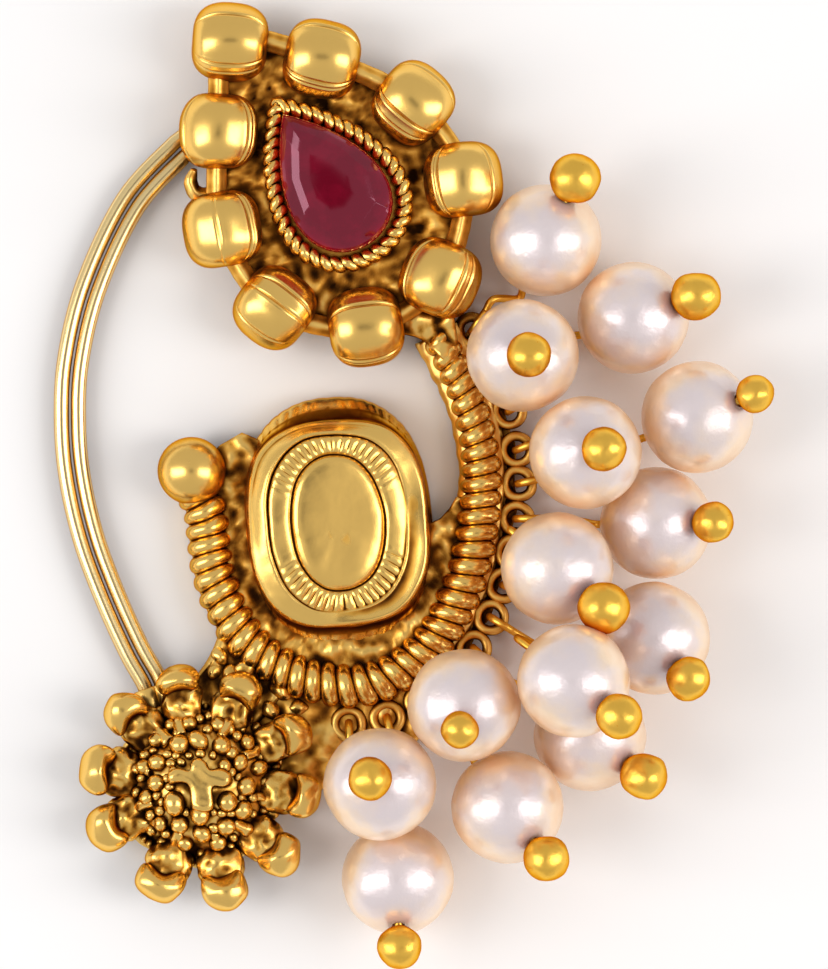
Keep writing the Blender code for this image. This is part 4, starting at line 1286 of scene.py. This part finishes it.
def add_light(name, place, target, width, height, power, colour=(1.0, 1.0, 1.0)):
    light = bpy.data.lights.new(name, "AREA")
    light.shape = "RECTANGLE"
    light.size = width
    light.size_y = height
    light.energy = power
    light.color = colour
    lamp = bpy.data.objects.new(name, light)
    lamp.location = place
    lamp.rotation_euler = (Vector(target) - Vector(place)).to_track_quat("-Z", "Y").to_euler()
    bpy.context.scene.collection.objects.link(lamp)


def make_studio():
    middle = (VIEW_CENTRE[0] * METRES_PER_MM, VIEW_CENTRE[1] * METRES_PER_MM, 0.0)
    add_light("left box", (-0.36, -0.04, 0.32), middle, 0.20, 0.42, 1.05, (1.0, 0.97, 0.95))
    add_light("right box", (0.37, -0.04, 0.32), middle, 0.20, 0.42, 1.05, (1.0, 0.97, 0.95))
    world = bpy.context.scene.world or bpy.data.worlds.new("studio")
    bpy.context.scene.world = world
    world.use_nodes = True
    tree = world.node_tree
    background = tree.nodes["Background"]
    way = tree.nodes.new("ShaderNodeTexCoord")
    parts = tree.nodes.new("ShaderNodeSeparateXYZ")
    tree.links.new(way.outputs["Generated"], parts.inputs[0])
    dark = (0.10, 0.10, 0.11)
    pale = (0.97, 0.96, 0.97)
    sky = ramp(tree, parts.outputs["Z"], ((0.0, pale), (0.988, pale), (0.994, dark), (1.0, dark)))
    tree.links.new(sky, background.inputs["Color"])
    background.inputs["Strength"].default_value = 0.60


def make_camera():
    data = bpy.data.cameras.new("camera")
    data.sensor_fit = "VERTICAL"
    data.sensor_height = 24.0
    distance = (VIEW_DISTANCE - VIEW_DEPTH) * METRES_PER_MM
    data.lens = 24.0 * distance / (VIEW_HEIGHT * METRES_PER_MM)
    data.clip_start = 0.01
    data.clip_end = 10.0
    camera = bpy.data.objects.new("camera", data)
    camera.location = (VIEW_CENTRE[0] * METRES_PER_MM, VIEW_CENTRE[1] * METRES_PER_MM,
                       VIEW_DISTANCE * METRES_PER_MM)
    bpy.context.scene.collection.objects.link(camera)
    bpy.context.scene.camera = camera


def main():
    gold = antique_gold("antique gold", 1.0, GOLD_STOPS)
    coil_gold = antique_gold("wound gold", 0.75, GOLD_STOPS, tarnish_and_painted_shade=-0.04)
    smooth_gold = antique_gold("polished gold", 0.75, GOLD_STOPS, polish=0.21, pitting=0.35)
    # Painted shade: the recessed plates under the tube, boss and beads get a darker colour all over, as they lie
    # in shade.
    recess_gold = antique_gold("recess gold with painted shade", 0.9, GOLD_STOPS, polish=0.26, tarnish_and_painted_shade=0.28)
    # Darker all over: tarnishing, and painted shade on the plate sunk between the beads.
    plate_gold = antique_gold("matt gold", 0.5, GOLD_STOPS, polish=0.36, pitting=1.6, tarnish_and_painted_shade=0.34)
    sheet_gold = antique_gold("sheet gold", 0.5, GOLD_STOPS, polish=0.30, tarnish_and_painted_shade=0.22)
    # Painted shade: the eyelets are made near black, as they lie in shade under the pearls and the tube.
    eyelet_gold = antique_gold("eyelet gold with painted shade", 1.0, GOLD_STOPS, polish=0.30, tarnish_and_painted_shade=1.35)
    wire_gold = antique_gold("wire gold", 0.7, WIRE_STOPS, polish=0.17, pitting=0.2)
    pin_gold = antique_gold("bright gold", 0.6, PIN_STOPS, polish=0.29, pitting=1.4)
    flower_gold = antique_gold("flower gold", 1.3, GOLD_STOPS, polish=0.2)
    nacre = pearl_nacre()
    ruby = ruby_glass()
    make_coil(coil_gold)
    make_crescent_plate(recess_gold)
    make_end_ball(smooth_gold)
    make_boss_web(recess_gold)
    make_back_plate(recess_gold, sheet_gold)
    make_boss(smooth_gold)
    make_beads(smooth_gold)
    make_cluster_plate(plate_gold)
    make_bezel(gold)
    make_neck(recess_gold)
    make_tab(recess_gold)
    make_stone(ruby)
    make_flower_dish(recess_gold)
    make_petals(flower_gold)
    make_grains(flower_gold)
    make_stems(flower_gold)
    make_cross(flower_gold)
    make_flower_web(recess_gold, gold)
    make_nose_wire(wire_gold)
    make_wire_holders(recess_gold)
    make_eyelets(eyelet_gold)
    for number, pearl in enumerate(PEARLS, 1):
        make_pearl(number, pearl, nacre)
        make_pin(number, pearl, pin_gold)
    make_floor()
    make_studio()
    make_camera()
    scene = bpy.context.scene
    scene.view_settings.view_transform = "Standard"
    scene.view_settings.look = "None"


main()
